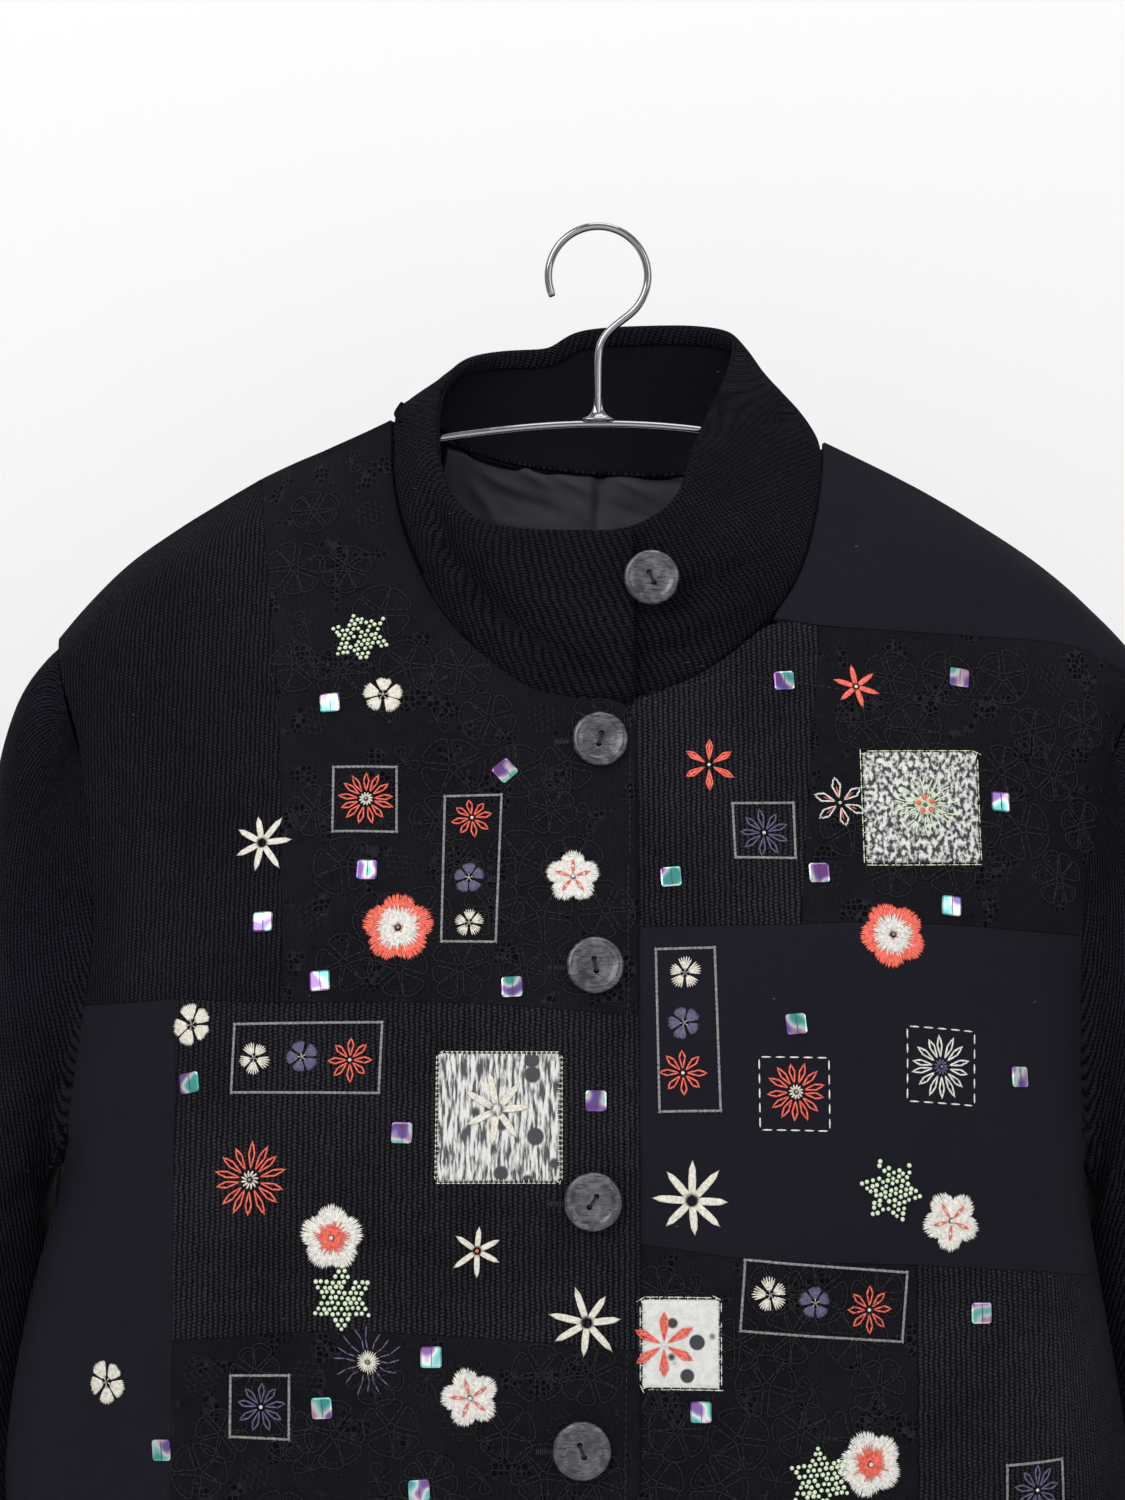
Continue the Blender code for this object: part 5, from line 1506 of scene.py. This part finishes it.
def sew_patch(mesh, surface, colour, pace, reach, rng):
    """Stitches across a patch's edge all the way round."""
    model = bmesh.new()
    model.from_mesh(mesh)
    middle = sum((vert.co for vert in model.verts), Vector()) / len(model.verts)
    places = border_round(model)
    model.free()
    run = 0.0
    for start, end in zip(places, places[1:]):
        run += (end - start).length / MM
        if run < pace:
            continue
        run = 0.0
        seen = screen_place(end)
        spot = Spot(surface, seen.x, seen.y)
        inward = middle - end
        flat = Vector((inward.dot(spot.right), inward.dot(spot.up)))
        side = Vector((-(end - start).dot(spot.up), (end - start).dot(spot.right)))
        side = side.normalized() if side.length > 0 else flat.normalized()
        if side.dot(flat) < 0:
            side = -side
        stitch(spot, colour, side * -0.6, side * reach * rng.uniform(0.85, 1.15), 0.5, 0.6)
        along = Vector((side.y, -side.x))
        stitch(spot, colour, along * -pace * 0.62 - side * 0.5, along * pace * 0.62 - side * 0.5,
               0.5, 0.6)


def patch_flowers(surface, rng):
    """The flowers worked on the patches."""
    for reach, turn in ((14.0, 0), (12.5, 8)):
        rays(Spot(surface, *UPPER_PATCH_FLOWER, turn), reach, rng, 14, "green", "green")
    middle = Spot(surface, *UPPER_PATCH_FLOWER, 8)
    for index in range(5):
        knot(middle, "coral", *polar(3.0, index * 72), 2.5, 0.9)
    leaves(Spot(surface, *MIDDLE_PATCH_FLOWER, 12), 15.0, rng, 7)
    daisy(Spot(surface, *LOWER_PATCH_FLOWER), 12.5, rng, 6, "coral", None, False, 0.12, 1.3)


# Buttons

BUTTON_PROFILE = (
    (0.0, -1.55), (9.6, -1.55), (10.9, -1.1), (11.5, -0.3), (11.5, 0.4), (11.2, 1.0), (10.5, 1.45),
    (9.7, 1.6), (8.9, 1.5), (8.1, 1.05), (7.2, 0.75), (0.0, 0.62),
)
BUTTON_TURNS = 48
HOLE_PLACE = 2.5
HOLE_SIZE = 1.15
BUTTON_THREADS = (-0.5, 0.0, 0.5)
BUTTON_BEND = 32
BUTTON_TURN = (25, -15, 10, -35, 20, 5)


def button_template():
    """A dished button with two thread holes."""
    disc = new_object(mesh_from(lathe(BUTTON_PROFILE, BUTTON_TURNS), "button"), "button")
    drill = bmesh.new()
    for side in (-1, 1):
        bmesh.ops.create_cone(drill, cap_ends=True, segments=16, radius1=HOLE_SIZE * MM,
                              radius2=HOLE_SIZE * MM, depth=0.01,
                              matrix=Matrix.Translation((0.0, side * HOLE_PLACE * MM, 0.0)))
    holes = new_object(mesh_from(drill, "button holes"), "button holes")
    cut = disc.modifiers.new("holes", "BOOLEAN")
    cut.operation = "DIFFERENCE"
    cut.solver = "EXACT"
    cut.object = holes
    result = settled(disc)
    bpy.data.objects.remove(disc)
    bpy.data.objects.remove(holes)
    return result


def node_frame(name, turn):
    """A flat round node's own place: its middle, and its front direction as Z."""
    mesh = NODES[name].data
    low = Vector([min(vert.co[axis] for vert in mesh.vertices) for axis in range(3)])
    high = Vector([max(vert.co[axis] for vert in mesh.vertices) for axis in range(3)])
    out = Vector()
    for face in mesh.polygons:
        if face.normal.y < -0.75:
            out += face.normal * face.area
    out.normalize()
    side = (UP.cross(out)).normalized()
    frame_of = Matrix((side, out.cross(side), out)).transposed().to_4x4()
    return Matrix.Translation((low + high) / 2) @ frame_of @ Matrix.Rotation(turn, 4, "Z")


def button_material():
    """Grey marbled plastic with fine scratches."""
    material, tree, shader = start_material("marbled plastic", 0.32)
    place = object_place(tree)
    swirl = add(tree, "ShaderNodeTexNoise", {}, {"Vector": place, "Scale": 190.0, "Detail": 6.0,
                                                 "Distortion": 1.2}).outputs[0]
    colour = blend(tree, remap(tree, swirl, 0.38, 0.64), (0.014, 0.015, 0.018, 1.0),
                   (0.085, 0.088, 0.102, 1.0))
    stretched = add(tree, "ShaderNodeMapping", {}, {"Vector": place, "Scale": (260.0, 260.0, 1700.0),
                                                    "Rotation": (0.0, 0.55, 0.0)}).outputs[0]
    marks = noise_at(tree, stretched, 1.0, 3.0)
    scratched = blend(tree, remap(tree, marks, 0.53, 0.60), colour, (0.010, 0.010, 0.012, 1.0))
    tree.links.new(scratched, shader.inputs["Base Color"])
    add_relief(tree, shader, marks, 0.0003, 0.5)
    shader.inputs["Coat Weight"].default_value = 0.25
    return material


def make_button(index, template, material):
    """One button with its sewing thread."""
    name = f"button_{index}"
    place = node_frame(name, math.radians(BUTTON_TURN[index - 1]))
    mesh = template.copy()
    mesh.transform(place)
    mesh.materials.clear()
    mesh.materials.append(material)
    item = new_object(mesh, f"{name}_plastic")
    smooth_by_angle(mesh, BUTTON_BEND)
    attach(item, BODY)
    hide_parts(name)
    out = place.to_3x3() @ UP
    for offset in BUTTON_THREADS:
        start = place @ (Vector((offset, HOLE_PLACE * 1.3, 0.5)) * MM)
        end = place @ (Vector((offset * 0.8, -HOLE_PLACE * 1.3, 0.5)) * MM)
        add_thread("black", start, end, out, 0.5, 0.9, 0.45)


def make_buttons():
    """The six buttons from one template."""
    plastic = button_material()
    template = button_template()
    for index in range(1, len(BUTTON_TURN) + 1):
        make_button(index, template, plastic)


# Hanger

FLARE_PROFILE = ((1.9, 9.0), (2.1, 5.6), (2.7, 3.4), (3.9, 1.7), (5.8, 0.6), (7.2, 0.0), (7.3, -0.7),
                 (4.0, -1.6), (0.0, -1.9))
FLARE_DEPTH = 0.48
FLARE_TURNS = 24
WIRE_FULLER = 0.00002
WIRE_QUAD_ANGLE = 60
WIRE_BEND = 60
WIRE_LEVELS = 2


def chrome_material():
    """Polished wire with faint handling marks."""
    material, tree, shader = start_material("chrome wire", 0.10, 1.0)
    place = object_place(tree)
    marks = noise_at(tree, place, 260.0, 4.0)
    tree.links.new(remap(tree, marks, 0.3, 0.8, 0.07, 0.20), shader.inputs["Roughness"])
    # Darker than bright chrome: partly painted reflection, standing in for the dark cloth that the wire
    # reflects.
    shader.inputs["Base Color"].default_value = (0.25, 0.255, 0.27, 1.0)
    return material


def round_wire(name, material):
    """The wire of a hanger node, rounded and a little fuller again."""
    model = merged_node(name)
    join_quads(model, WIRE_QUAD_ANGLE)
    mark_sharp(model, WIRE_BEND)
    fine = refined(mesh_from(model, name), name, WIRE_LEVELS)
    move_out(fine, lambda co: WIRE_FULLER)
    fine.shade_smooth()
    fine.materials.clear()
    fine.materials.append(material)
    item = new_object(fine, f"{name}_wire")
    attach(item, BODY)
    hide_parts(name)


def make_flare(material):
    """The flared foot that joins the hook's stem to the bar."""
    mesh = mesh_from(lathe(FLARE_PROFILE, FLARE_TURNS), "hanger_joint")
    foot = min(vert.co.z for vert in NODES["hanger_hook"].data.vertices)
    mesh.transform(Matrix.Translation((0.0, 0.0, foot)) @ Matrix.Diagonal((1.0, FLARE_DEPTH, 1.0, 1.0)))
    mesh.shade_smooth()
    mesh.materials.append(material)
    item = new_object(mesh, "hanger_joint")
    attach(item, BODY)


def make_hanger():
    """The bar, the hook and the foot that joins them."""
    chrome = chrome_material()
    round_wire("hanger_bar", chrome)
    round_wire("hanger_hook", chrome)
    make_flare(chrome)


# Joining the copies of each small shape

# name: colour, lighter colour, roughness
THREADS = {
    "coral": ((0.52, 0.055, 0.032), (0.88, 0.17, 0.11), 0.55),
    "cream": ((0.46, 0.43, 0.36), (0.76, 0.73, 0.64), 0.55),
    "white": ((0.46, 0.45, 0.41), (0.78, 0.76, 0.71), 0.55),
    "purple": ((0.050, 0.040, 0.090), (0.120, 0.098, 0.190), 0.55),
    "green": ((0.48, 0.60, 0.40), (0.70, 0.80, 0.60), 0.60),
    "grey": ((0.10, 0.10, 0.10), (0.27, 0.27, 0.27), 0.60),
    "silver": ((0.03, 0.03, 0.04), (0.10, 0.10, 0.12), 0.45),
    "black": ((0.003, 0.003, 0.005), (0.012, 0.012, 0.016), 0.60),
    "bead": ((0.035, 0.030, 0.034), (0.40, 0.38, 0.36), 0.20),
    "lace": ((0.0010, 0.0010, 0.0016), (0.0078, 0.0074, 0.0100), 0.85),
}


def thread_material(name):
    """Twisted thread with uneven dye."""
    dark, light, roughness = THREADS[name]
    material, tree, shader = start_material(f"{name} thread", roughness)
    place = object_place(tree)
    mottle = noise_at(tree, place, 900.0, 2.0)
    tree.links.new(blend(tree, remap(tree, mottle, 0.3, 0.7), (*dark, 1.0), (*light, 1.0)),
                   shader.inputs["Base Color"])
    add_relief(tree, shader, noise_at(tree, place, 2600.0, 1.0), 0.0003, 0.6)
    return material


def sequin_material():
    """Pastel foil that changes colour from place to place."""
    material, tree, shader = start_material("sequin foil", 0.18, 0.55)
    place = object_place(tree)
    mottle = noise_at(tree, place, 150.0, 0.0)
    ramp = add(tree, "ShaderNodeValToRGB", {}, {0: remap(tree, mottle, 0.30, 0.70)})
    stops = ramp.color_ramp.elements
    stops[0].color = (0.05, 0.30, 0.28, 1.0)
    stops[1].color = (0.16, 0.05, 0.22, 1.0)
    for position, colour in ((0.28, (0.22, 0.52, 0.48)), (0.46, (0.60, 0.62, 0.60)),
                             (0.60, (0.46, 0.24, 0.40)), (0.78, (0.10, 0.09, 0.34))):
        stops.new(position).color = (*colour, 1.0)
    tree.links.new(ramp.outputs[0], shader.inputs["Base Color"])
    shader.inputs["Coat Weight"].default_value = 0.6
    return material


# template: sides round it and rings along it
TEMPLATES = {"stitch": (6, 4), "knot": (6, 4), "cord": (5, 3)}
# Parts of a sequin template that is 1 wide: its round corners, its rim and how far its middle rises
SEQUIN_CORNER = 0.14
SEQUIN_RIM = 0.07
SEQUIN_DOME = 0.35


def template_arrays(kind):
    """Corner places and faces of a stitch, a knot, a coarse cord or a sequin."""
    model = bmesh.new()
    if kind == "sequin":
        bmesh.ops.create_cube(model, size=1.0)
        upright = [edge for edge in model.edges
                   if abs(edge.verts[0].co.z - edge.verts[1].co.z) > 0.5]
        bmesh.ops.bevel(model, geom=upright, offset=SEQUIN_CORNER, segments=3, profile=0.5,
                        affect="EDGES")
        top = [face for face in model.faces if face.normal.z > 0.9]
        bmesh.ops.inset_region(model, faces=top, thickness=SEQUIN_RIM, depth=0.0)
        for face in top:
            for vert in face.verts:
                vert.co.z += SEQUIN_DOME
        bmesh.ops.triangulate(model, faces=model.faces[:])
    else:
        turns, rings = TEMPLATES[kind]
        bmesh.ops.create_uvsphere(model, u_segments=turns, v_segments=rings, radius=0.5)
        bmesh.ops.triangulate(model, faces=model.faces[:])
    model.verts.ensure_lookup_table()
    corners = np.array([tuple(vert.co) for vert in model.verts])
    faces = np.array([[vert.index for vert in face.verts] for face in model.faces])
    model.free()
    return corners, faces


def join_copies(name, kind, places, material, smooth=True):
    """One object that holds a copy of a template at every place."""
    corners, faces = template_arrays(kind)
    turns = np.array([[list(row) for row in place.to_3x3()] for place in places])
    shifts = np.array([tuple(place.translation) for place in places])
    points = np.einsum("nij,kj->nki", turns, corners) + shifts[:, None, :]
    offsets = np.arange(len(places))[:, None, None] * len(corners)
    polygons = (faces[None, :, :] + offsets).reshape(-1, 3)
    mesh = bpy.data.meshes.new(name)
    mesh.from_pydata(points.reshape(-1, 3), [], polygons)
    mesh.update()
    if smooth:
        mesh.shade_smooth()
    mesh.materials.append(material)
    item = new_object(mesh, name)
    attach(item, BODY)
    return item


def join_threads(cloths, rng):
    """One object for each thread colour, and one for each panel's lace cords."""
    materials = {name: thread_material(name) for name in THREADS}
    for colour, places in work["stitches"].items():
        join_copies(f"threads_{colour}", "stitch", places, materials[colour])
    for colour, places in work["knots"].items():
        join_copies(f"knots_{colour}", "knot", places, materials[colour])
    join_copies("sequins", "sequin", work["sequins"], sequin_material(), smooth=False)
    for name in LACE_PANELS:
        work["stitches"]["lace"] = []
        lay_lace(cloths[name].data, rng)
        join_copies(f"{name}_cords", "cord", work["stitches"]["lace"], materials["lace"])


# The whole scene

def make_cloths():
    """Every cloth piece and patch, by its node's name."""
    groups = {"knit": knit_group(), "net": net_group(), "wear": wear_group()}
    finishes = {name: cloth_material(name, groups) for name in CLOTH_FINISHES}
    finishes.update({name: print_material(name) for name in PRINTS})
    cloths = {row[0]: make_cloth(*row, finishes) for row in CLOTHS}
    for name, finish, width, length in PATCHES:
        cloths[name] = make_cloth(name, OUTSIDE, "patches", finish, PATCH_WALL, PATCH_LEVELS, width,
                                  length, finishes)
    return cloths


def lay_threads(cloths, rng):
    """Flowers, frames, patch edges, sewing lines and sequins on the outer cloths."""
    surface = joined_surface([cloths[name].data for name in cloths if name not in LININGS])
    embroider(surface)
    patch_flowers(surface, rng)
    for name, sewing in PATCH_SEWING.items():
        sew_patch(cloths[name].data, surface, *sewing, rng)
    sewing_lines(surface)
    for index, (px, py, turn) in enumerate(SEQUINS):
        sequin(Spot(surface, px, py, turn), index)


def main():
    """Build the scene."""
    make_camera()
    make_lights()
    make_room()
    cloths = make_cloths()
    rng = random.Random(SEED)
    lay_threads(cloths, rng)
    make_buttons()
    make_hanger()
    join_threads(cloths, rng)


main()
